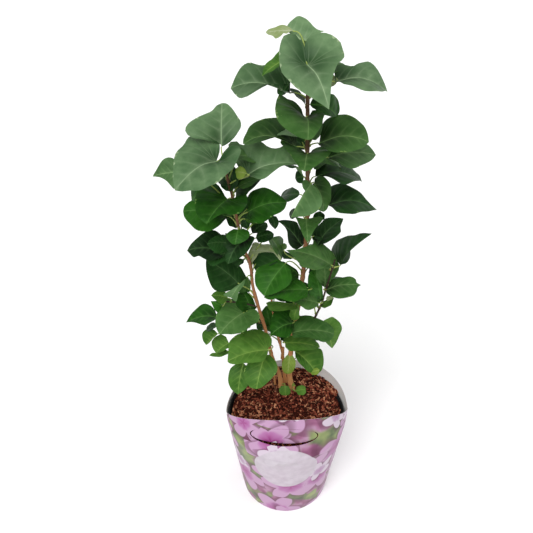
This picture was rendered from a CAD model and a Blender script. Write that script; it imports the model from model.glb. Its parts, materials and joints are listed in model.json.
"""A young lilac bush in a nursery pot that is wrapped in a printed card carry sleeve.

Lengths are millimetres until a mesh is made, in the frame's own axes: +Z is up, the origin is
under the middle of the pot, and the sleeve's front panel, with its hand hole, faces -Y.
"""

import json
import math
from dataclasses import dataclass

import bpy
import numpy as np
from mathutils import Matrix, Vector, noise


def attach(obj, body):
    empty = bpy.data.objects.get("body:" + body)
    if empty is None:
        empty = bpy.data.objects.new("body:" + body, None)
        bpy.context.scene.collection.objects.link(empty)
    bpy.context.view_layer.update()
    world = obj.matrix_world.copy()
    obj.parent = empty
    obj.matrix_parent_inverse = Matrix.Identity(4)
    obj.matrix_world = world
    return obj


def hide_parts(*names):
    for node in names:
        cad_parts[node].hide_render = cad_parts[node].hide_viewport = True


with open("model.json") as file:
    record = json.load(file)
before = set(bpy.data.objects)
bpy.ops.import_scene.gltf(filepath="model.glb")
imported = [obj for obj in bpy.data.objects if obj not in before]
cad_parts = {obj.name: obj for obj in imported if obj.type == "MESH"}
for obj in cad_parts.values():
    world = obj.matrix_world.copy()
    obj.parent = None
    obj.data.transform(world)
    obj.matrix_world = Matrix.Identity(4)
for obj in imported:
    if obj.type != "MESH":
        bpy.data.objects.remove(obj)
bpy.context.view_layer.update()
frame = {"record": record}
bpy.ops.object.select_all(action="DESELECT")

MM = 0.001
SEED = 11


# ---------- the view ----------

PICTURE_SIDE = 533  # the picture is square, and a place in it is (across, down)
LENS, SENSOR = 50, 36
EYE = np.array((-29.0, -679.0, 1021.0))
LOOK_DOWN = math.radians(40.7)
FORWARD = np.array((0.0, math.cos(LOOK_DOWN), -math.sin(LOOK_DOWN)))
UPWARD = np.array((0.0, math.sin(LOOK_DOWN), math.cos(LOOK_DOWN)))
RIGHTWARD = np.array((1.0, 0.0, 0.0))
FOCAL = LENS / SENSOR * PICTURE_SIDE
HALF_SIDE = PICTURE_SIDE / 2


def rays_to(places):
    """The rays along which the view sees places in the picture."""
    off = (np.asarray(places, float) - HALF_SIDE) / FOCAL
    return FORWARD + off[..., :1] * RIGHTWARD - off[..., 1:] * UPWARD


def seen_at(place, depth):
    """The point with y = depth that the view shows at a place in the picture."""
    ray = rays_to(place)
    return EYE + ray * (depth - EYE[1]) / ray[1]


def picture_place(points):
    """Where in the picture the view shows points."""
    ray = np.asarray(points, float) - EYE
    far = ray @ FORWARD
    across, up = FOCAL * (ray @ RIGHTWARD) / far, FOCAL * (ray @ UPWARD) / far
    return np.stack([HALF_SIDE + across, HALF_SIDE - up], -1)


def set_camera():
    bpy.ops.object.camera_add(location=EYE * MM, rotation=(math.pi / 2 - LOOK_DOWN, 0, 0))
    camera = bpy.context.object
    camera.data.lens = LENS
    camera.data.sensor_width = SENSOR
    camera.data.clip_start = 0.01
    bpy.context.scene.camera = camera


# ---------- materials ----------

MIX_SHARE, MIX_FIRST, MIX_SECOND, MIXED = 0, 6, 7, 2  # sockets of a colour mix, and its output


def linear(hex_colour):
    """The linear colour of an sRGB hex value."""
    parts = [int(hex_colour[i : i + 2], 16) / 255 for i in (0, 2, 4)]
    return (*[p / 12.92 if p <= 0.04045 else ((p + 0.055) / 1.055) ** 2.4 for p in parts], 1.0)


def add(material, kind, inputs=None, stops=None, **settings):
    """Adds a node with its settings. An input is a value or another node's output."""
    tree = material.node_tree
    node = tree.nodes.new(kind)
    for name, value in settings.items():
        setattr(node, name, value)
    for socket, value in (inputs or {}).items():
        if isinstance(value, bpy.types.NodeSocket):
            tree.links.new(value, node.inputs[socket])
        else:
            node.inputs[socket].default_value = value
    if stops:
        ramp = node.color_ramp.elements
        while len(ramp) < len(stops):
            ramp.new(0.5)
        for element, (at, colour) in zip(ramp, stops):
            element.position = at
            element.color = linear(colour)
    return node


def new_material(name, **constants):
    """A material and its shader, with the numbers that are the same all over it."""
    material = bpy.data.materials.new(name)
    material.use_nodes = True
    shader = material.node_tree.nodes["Principled BSDF"]
    for socket, value in constants.items():
        shader.inputs[socket.replace("_", " ")].default_value = value
    return material, shader


def link(material, output, shader, socket):
    material.node_tree.links.new(output, shader.inputs[socket])


# Lilac leaf, its upper side: a smooth cuticle, on the sunned leaves with a satin bloom. Each tint
# mottles softly between two greens over about a centimetre, has fine paler side veins and a thin
# pale rim, and falls into a dark green round its foot. It has a faint pebbling.
@dataclass
class Tint:
    dusk: str  # the two greens of the blade
    light: str
    hollow: str  # round the foot
    vein: str
    underside: str
    slot: str
    shine: float


LEAF_TINTS = {
    "satin": Tint("46663F", "7A986B", "1C3F18", "98AE88", "7A8E66", "leaf_satin", 0.26),
    "mid": Tint("34552A", "5F8250", "16370F", "86A26C", "64803F", "leaf_satin", 0.2),
    "green": Tint("2A501E", "587F42", "0C2608", "75925A", "64803F", "leaf_green", 0.13),
    "dark": Tint("0F2C0B", "2D5626", "051405", "567648", "64803F", "leaf_dark", 0.13),
    "deep": Tint("163F0A", "37701F", "092806", "5E8C44", "64803F", "leaf_green", 0.13),
    "bright": Tint("2E5717", "5E8638", "1C440C", "8AA850", "64803F", "leaf_bright", 0.13),
    "young": Tint("5F7A26", "93A850", "5F7A26", "B4C07C", "98A866", "leaf_bright", 0.13),
    "pale": Tint("7F9058", "AAB392", "7F9058", "C8CCB4", "B4BC98", "leaf_satin", 0.13),
}
MOTTLE_MM = 11
MOTTLE_SWING = 0.8  # how far the mottling carries a blade from one of its greens to the other
PEBBLE_MM = 1.1
VEIN_SHOWS = 0.29  # how much of a vein's colour shows beside it
VEIN_FADES = 5  # a power: above 1 the pale band hugs the vein


def leaf_blade(tint):
    look = LEAF_TINTS[tint]
    material, shader = new_material(f"leaf_cuticle_{tint}", Roughness=0.5, IOR=1.45,
                                    Specular_IOR_Level=look.shine)
    place = add(material, "ShaderNodeTexCoord").outputs["Object"]
    mottle = add(material, "ShaderNodeTexNoise",
                 {"Vector": place, "Scale": 1 / (MOTTLE_MM * MM), "Detail": 3})
    tone = add(material, "ShaderNodeAttribute", attribute_name="tone").outputs["Fac"]
    swing = add(material, "ShaderNodeMath", {0: mottle.outputs["Fac"], 1: MOTTLE_SWING, 2: tone},
                operation="MULTIPLY_ADD")
    greens = add(material, "ShaderNodeValToRGB", {"Fac": swing.outputs[0]},
                 stops=((0.2, look.dusk), (0.95, look.light)))
    rib = add(material, "ShaderNodeAttribute", attribute_name="rib").outputs["Fac"]
    narrow = add(material, "ShaderNodeMath", {0: rib, 1: VEIN_FADES}, operation="POWER")
    near = add(material, "ShaderNodeMath", {0: narrow.outputs[0], 1: VEIN_SHOWS}, operation="MULTIPLY")
    hollow = add(material, "ShaderNodeAttribute", attribute_name="hollow").outputs["Fac"]
    shaded = add(material, "ShaderNodeMix",
                 {MIX_SHARE: hollow, MIX_FIRST: greens.outputs["Color"],
                  MIX_SECOND: linear(look.hollow)}, data_type="RGBA")
    colour = add(material, "ShaderNodeMix",
                 {MIX_SHARE: near.outputs[0], MIX_FIRST: shaded.outputs[MIXED],
                  MIX_SECOND: linear(look.vein)}, data_type="RGBA")
    pebble = add(material, "ShaderNodeTexNoise",
                 {"Vector": place, "Scale": 1 / (PEBBLE_MM * MM), "Detail": 2})
    bump = add(material, "ShaderNodeBump",
               {"Height": pebble.outputs["Fac"], "Strength": 0.12, "Distance": 0.4 * MM})
    link(material, colour.outputs[MIXED], shader, "Base Color")
    link(material, bump.outputs["Normal"], shader, "Normal")
    return material


def leaf_vein(tint):
    """Leaf midrib: a pale, slightly glossy ridge, greener in places."""
    material, shader = new_material(f"leaf_vein_{tint}", Roughness=0.5, IOR=1.45,
                                    Specular_IOR_Level=0.25)
    place = add(material, "ShaderNodeTexCoord").outputs["Object"]
    streak = add(material, "ShaderNodeTexNoise", {"Vector": place, "Scale": 1 / (MOTTLE_MM * MM)})
    colour = add(material, "ShaderNodeValToRGB", {"Fac": streak.outputs["Fac"]},
                 stops=((0.3, LEAF_TINTS[tint].light), (0.75, LEAF_TINTS[tint].vein)))
    link(material, colour.outputs["Color"], shader, "Base Color")
    return material


def leaf_underside(tint):
    """The underside of a leaf has no bloom: it is paler, duller and softly mottled."""
    material, shader = new_material(f"leaf_underside_{tint}", Roughness=0.65, IOR=1.4,
                                    Specular_IOR_Level=0.2)
    place = add(material, "ShaderNodeTexCoord").outputs["Object"]
    mottle = add(material, "ShaderNodeTexNoise",
                 {"Vector": place, "Scale": 1 / (MOTTLE_MM * MM), "Detail": 3})
    colour = add(material, "ShaderNodeValToRGB", {"Fac": mottle.outputs["Fac"]},
                 stops=((0.25, LEAF_TINTS[tint].vein), (0.7, LEAF_TINTS[tint].underside)))
    link(material, colour.outputs["Color"], shader, "Base Color")
    return material


BARK_RELIEF_MM = 3.5
BARK_STRETCH = 0.2  # the fibres are five times as long as they are wide
FIBRE_SHOWS = 0.35
LENTICEL_MM = 4


def bark(name, foot, middle, top, foot_z, top_z):
    """Young lilac bark: fibrous orange-brown at the foot, darker and smoother up the shoot,
    with small pale pores."""
    material, shader = new_material(name, Roughness=0.72, IOR=1.45, Specular_IOR_Level=0.25)
    place = add(material, "ShaderNodeTexCoord").outputs["Object"]
    height = add(material, "ShaderNodeSeparateXYZ", {0: place}).outputs["Z"]
    climb = add(material, "ShaderNodeMapRange",
                {"Value": height, "From Min": foot_z * MM, "From Max": top_z * MM})
    stretched = add(material, "ShaderNodeMapping", {"Vector": place, "Scale": (1, 1, BARK_STRETCH)})
    fibre = add(material, "ShaderNodeTexNoise",
                {"Vector": stretched.outputs[0], "Scale": 1 / (BARK_RELIEF_MM * MM), "Detail": 6,
                 "Roughness": 0.7})
    drift = add(material, "ShaderNodeMath", {0: fibre.outputs["Fac"], 1: FIBRE_SHOWS, 2: climb.outputs[0]},
                operation="MULTIPLY_ADD")
    colour = add(material, "ShaderNodeValToRGB", {"Fac": drift.outputs[0]},
                 stops=((0.12, foot), (0.45, middle), (1.0, top)))
    pores = add(material, "ShaderNodeTexVoronoi", {"Vector": place, "Scale": 1 / (LENTICEL_MM * MM)})
    pale = add(material, "ShaderNodeMapRange",
               {"Value": pores.outputs["Distance"], "From Min": 0.16, "From Max": 0.1, "To Max": 0.5})
    dotted = add(material, "ShaderNodeMix",
                 {MIX_SHARE: pale.outputs[0], MIX_FIRST: colour.outputs["Color"],
                  MIX_SECOND: linear("C8A988")}, data_type="RGBA")
    bump = add(material, "ShaderNodeBump",
               {"Height": fibre.outputs["Fac"], "Strength": 0.5, "Distance": 0.5 * MM})
    link(material, dotted.outputs[MIXED], shader, "Base Color")
    link(material, bump.outputs["Normal"], shader, "Normal")
    return material


GRAIN_RELIEF = 0.2  # how deep the relief of a plain stuff is, of its grain


def mottled(name, low, high, grain_mm, roughness, strength=0.3, shine=0.25):
    """A plain natural stuff that wanders between two colours over grain_mm, with a bump to match."""
    material, shader = new_material(name, Roughness=roughness, IOR=1.45, Specular_IOR_Level=shine)
    place = add(material, "ShaderNodeTexCoord").outputs["Object"]
    grain = add(material, "ShaderNodeTexNoise",
                {"Vector": place, "Scale": 1 / (grain_mm * MM), "Detail": 5})
    colour = add(material, "ShaderNodeValToRGB", {"Fac": grain.outputs["Fac"]},
                 stops=((0.3, low), (0.7, high)))
    bump = add(material, "ShaderNodeBump",
               {"Height": grain.outputs["Fac"], "Strength": strength,
                "Distance": GRAIN_RELIEF * grain_mm * MM})
    link(material, colour.outputs["Color"], shader, "Base Color")
    link(material, bump.outputs["Normal"], shader, "Normal")
    return material


# ---------- making meshes ----------


class Joined:
    """Many small things gathered into one mesh."""

    def __init__(self):
        self.points, self.faces, self.kinds, self.flat = [], [], [], []
        self.marks = {"tone": [], "rib": [], "hollow": []}
        self.count = 0

    def take(self, points, faces, kinds=0, flat=None, **marks):
        """Adds one thing. kinds gives each face's material, flat each face's map corners and marks
        numbers that its material reads, one for the thing or one for each point."""
        self.points.append(points)
        self.faces += [[k + self.count for k in face] for face in faces]
        self.kinds += kinds if isinstance(kinds, list) else [kinds] * len(faces)
        self.flat += flat or []
        for label, values in self.marks.items():
            values += np.broadcast_to(marks.get(label, 0.0), len(points)).tolist()
        self.count += len(points)

    def make(self, name, *materials):
        mesh = bpy.data.meshes.new(name)
        mesh.from_pydata((np.vstack(self.points) * MM).tolist(), [], self.faces)
        mesh.polygons.foreach_set("material_index", self.kinds)
        mesh.polygons.foreach_set("use_smooth", [True] * len(self.faces))
        for material in materials:
            mesh.materials.append(material)
        for label, values in self.marks.items():
            mesh.attributes.new(label, "FLOAT", "POINT").data.foreach_set("value", values)
        if self.flat:
            spread = mesh.uv_layers.new(name="OFBake")
            spread.data.foreach_set("uv", [v for face in self.flat for corner in face for v in corner])
        mesh.update()
        piece = bpy.data.objects.new(name, mesh)
        bpy.context.collection.objects.link(piece)
        return piece


def settle(piece, slot, *nodes):
    """A finished piece rides on the one body, takes its slot's finish and stands for its solids."""
    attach(piece, "root")
    if nodes:
        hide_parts(*nodes)


def unit(vectors):
    return vectors / np.linalg.norm(vectors, axis=-1, keepdims=True)


LEAST_GAP = 0.01
TUBE_TIP = 0.6  # how far a tube's point stands out, of its last radius


def smooth_path(places, step):
    """A centripetal curve through places, as points about a step apart."""
    places = np.array(places, float)
    padded = np.vstack([2 * places[0] - places[1], places, 2 * places[-1] - places[-2]])
    stretches = []
    for a, b, c, d in zip(padded, padded[1:], padded[2:], padded[3:]):
        before, here, after = (max(np.linalg.norm(q - p), LEAST_GAP) ** 0.5
                               for p, q in ((a, b), (b, c), (c, d)))
        leave = ((b - a) / before - (c - a) / (before + here) + (c - b) / here) * here
        arrive = ((c - b) / here - (d - b) / (here + after) + (d - c) / after) * here
        count = max(2, round(np.linalg.norm(c - b) / step))
        s = (np.arange(count) / count)[:, None]
        stretches.append(b * (2 * s**3 - 3 * s**2 + 1) + leave * (s**3 - 2 * s**2 + s)
                         + c * (3 * s**2 - 2 * s**3) + arrive * (s**3 - s**2))
    return np.vstack([*stretches, places[-1:]])


def tube(path, radii, sides, level_foot=False):
    """Rings of points round a path, closed to a point at both ends. radii is one number a ring,
    or one a point."""
    path = np.asarray(path, float)
    radii = np.asarray(radii, float)
    radii = radii if radii.ndim == 2 else np.repeat(radii[:, None], sides, 1)
    along = unit(np.gradient(path, axis=0))
    if level_foot:
        along[:2] = (0, 0, 1)
    reference = np.eye(3)[np.argmin(np.abs(path[-1] - path[0]))]
    across = unit(reference - along * (along @ reference)[:, None])
    through = np.cross(along, across)
    turn = 2 * math.pi * np.arange(sides) / sides
    ring = np.cos(turn)[:, None] * across[:, None] + np.sin(turn)[:, None] * through[:, None]
    points = (path[:, None] + ring * radii[:, :, None]).reshape(-1, 3)
    last = len(path) - 1
    faces = []
    for i in range(last):
        for j in range(sides):
            k = (j + 1) % sides
            faces.append([i * sides + j, i * sides + k, (i + 1) * sides + k, (i + 1) * sides + j])
    foot, top = len(points), len(points) + 1
    points = np.vstack([points, path[0], path[-1] + along[-1] * radii[-1].mean() * TUBE_TIP])
    for j in range(sides):
        k = (j + 1) % sides
        faces.append([foot, k, j])
        faces.append([top, last * sides + j, last * sides + k])
    return points, faces


# ---------- stems and twigs ----------

SOIL_EDGE_Z = 156.5
MOUND_HEIGHT = 13.1
MOUND_TOP_R = 15
MOUND_SPREAD = 24
MOUND_EDGE_FADE = 12
PLANT_FOOT = (1, 36)
FOOT_Z = 169.95

# foot radius, tip radius, flare and the places that a stem passes, from its flat foot on the soil
STEMS = {
    "stem_right": (3.9, 1.7, 1.5, (
        (8, 36, FOOT_Z), (4, 35, 205), (8, 32, 290), (17, 29, 390), (19, 25, 493), (16, 22, 591),
        (12, 19, 700))),
    "stem_left": (3.2, 1.2, 1.3, (
        (-7, 36, FOOT_Z), (-10.9, 34, 204.1), (-18.6, 32, 229.9), (-23.7, 30, 257.1),
        (-27.5, 28, 281.3), (-31, 26, 305), (-38.9, 23, 344), (-46.4, 20, 387), (-49.4, 17, 427),
        (-57.5, 14, 459), (-66, 8, 523), (-71, 6, 554), (-75.6, 4.2, 581))),
    "stem_middle": (2.4, 1.0, 1.0, (
        (-1, 46, FOOT_Z), (-4, 44, 205), (-6, 43, 235), (-17, 46, 290), (-22, 49, 335), (-24, 50, 405))),
    "stem_thin": (1.3, 0.8, 0.5, (
        (-16, 42, FOOT_Z - 0.5), (-19, 41, 200), (-27, 39, 232), (-36, 36, 262))),
    "stem_side": (1.7, 1.0, 0.3, (
        (13, 33, 250), (20, 33, 266), (28, 31, 294), (43, 23, 354), (47, 19, 383), (55, 14, 436))),
    "twig_dead": (1.0, 0.7, 0.2, ((-13, 27, FOOT_Z - 0.1), (-16, 27, 178), (-22, 28, 194))),
}
YOUNG_STEMS = ("stem_side", "twig_dead")
STEM_STEP = 2.5
STEM_SIDES = 14
TAPER_POWER = 1.3
FLARE_HEIGHT = 9
TWIG_SIDES = 8
TWIG_TAPER = 0.6
WOODY_TOP_Z, YOUNG_TOP_Z = 660, 400  # where each kind of bark is at its smoothest
# the bark's fibres: their number round a stem, their length, the roughness, lacunarity and octaves
# of their noise, and their height, of the radius, with what the foot has more and how far up
FIBRES_ROUND, FIBRE_LENGTH, FIBRE_NOISE = 3, 14, (0.6, 2.1, 4)
FIBRE_HEIGHT, FOOT_FIBRE_HEIGHT, FOOT_FIBRE_RUN = 0.07, 0.12, 60
JOINT_SWELL, JOINT_RUN, MOST_SWELL = 0.34, 2.6, 0.5

# side twigs, from the stem that carries each: foot radius and places
TWIGS = {
    "twig_fringe": (1.2, ((-33, 25.3, 315), (-56, 34, 308), (-78, 34, 304), (-94, 30, 298))),
    "twig_fringe_high": (1.1, ((-40, 23, 347), (-62, 26, 352), (-82, 30, 350))),
    "twig_low": (1.3, ((-16.5, 32.5, 226), (-24, 26, 232), (-34, 18, 236), (-46, 12, 238))),
    "twig_stub": (2.8, ((-6, 42, 227), (-5.8, 41, 238), (-5.2, 40, 251.5))),
}


def stem_path(name):
    places = STEMS[name][3] if name in STEMS else TWIGS[name][1]
    return smooth_path(places, STEM_STEP)


PATHS = {name: stem_path(name) for name in (*STEMS, *TWIGS)}
DEAD_WOOD = ("twig_dead", "twig_stub")
LIVING = [name for name in PATHS if name not in DEAD_WOOD]


def lengths_along(path):
    return np.concatenate([[0], np.cumsum(np.linalg.norm(np.diff(path, axis=0), axis=1))])


def bark_relief(path, radii, sides, knots):
    """Radii with shallow fibres along the stem, and a swelling at each leaf joint."""
    run = lengths_along(path)
    turn = 2 * math.pi * np.arange(sides) / sides
    rough = np.array([[noise.fractal(Vector((FIBRES_ROUND * math.cos(t), FIBRES_ROUND * math.sin(t),
                                             along / FIBRE_LENGTH)), *FIBRE_NOISE)
                       for t in turn] for along in run])
    low = np.exp(-run / FOOT_FIBRE_RUN)[:, None]
    swell = np.zeros(len(run))
    for knot in knots:
        swell += JOINT_SWELL * np.exp(-(((run - knot) / JOINT_RUN) ** 2))
    fibres = 1 + rough * (FIBRE_HEIGHT + FOOT_FIBRE_HEIGHT * low)
    return radii[:, None] * fibres + np.minimum(swell, MOST_SWELL)[:, None]


def make_stems(joints):
    """joints lists, for each stem, how far along it leaves and twigs stand."""
    barks = {
        "woody_bark": bark("lilac_bark_woody", "D49A64", "A8704A", "5E4634", FOOT_Z, WOODY_TOP_Z),
        "young_bark": bark("lilac_bark_young", "6E4A38", "46302A", "3A2C26", FOOT_Z, YOUNG_TOP_Z),
    }
    for name, (foot_r, tip_r, flare, _) in STEMS.items():
        path = PATHS[name]
        run = lengths_along(path)
        taper = (1 - run / run[-1]) ** TAPER_POWER
        radii = tip_r + (foot_r - tip_r) * taper + flare * np.exp(-run / FLARE_HEIGHT)
        rooted = path[0][2] <= FOOT_Z
        gathered = Joined()
        gathered.take(*tube(path, bark_relief(path, radii, STEM_SIDES, joints[name]), STEM_SIDES, rooted))
        slot = "young_bark" if name in YOUNG_STEMS else "woody_bark"
        settle(gathered.make(f"{name}_bark", barks[slot]), slot, name)
    gathered = Joined()
    for name, (foot_r, _) in TWIGS.items():
        path = PATHS[name]
        radii = np.linspace(foot_r, TWIG_TAPER * foot_r, len(path))
        relief = bark_relief(path, radii, TWIG_SIDES, joints[name])
        gathered.take(*tube(path, relief, TWIG_SIDES), int(name in DEAD_WOOD))  # the stub is old wood
    settle(gathered.make("side_twigs", barks["young_bark"], barks["woody_bark"]), "young_bark")


# ---------- leaves ----------


@dataclass
class Leaf:
    """A leaf as the view shows it. base and point are the picture's places of the blade's foot
    and tip, near is how far the foot lies behind its stem (below 0 in front of it) and reach how
    far the point lies behind the foot, in millimetres. one and other are places that the margin
    passes on each side, from the foot to the tip; without them the blade is a plain heart."""

    base: tuple
    point: tuple
    near: float
    reach: float
    fold: float  # degrees that each half rises from the midrib
    arch: float  # how far the midrib bows up, of its length
    tint: str
    one: tuple = ()
    other: tuple = ()
    hollow: float = 0  # width of the dark funnel at the foot, in millimetres
    roll: float = 0  # degrees that the blade leans over round its midrib
    width: float = 40  # width of a blade that has no traced margin
    stalked: bool = True


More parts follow.
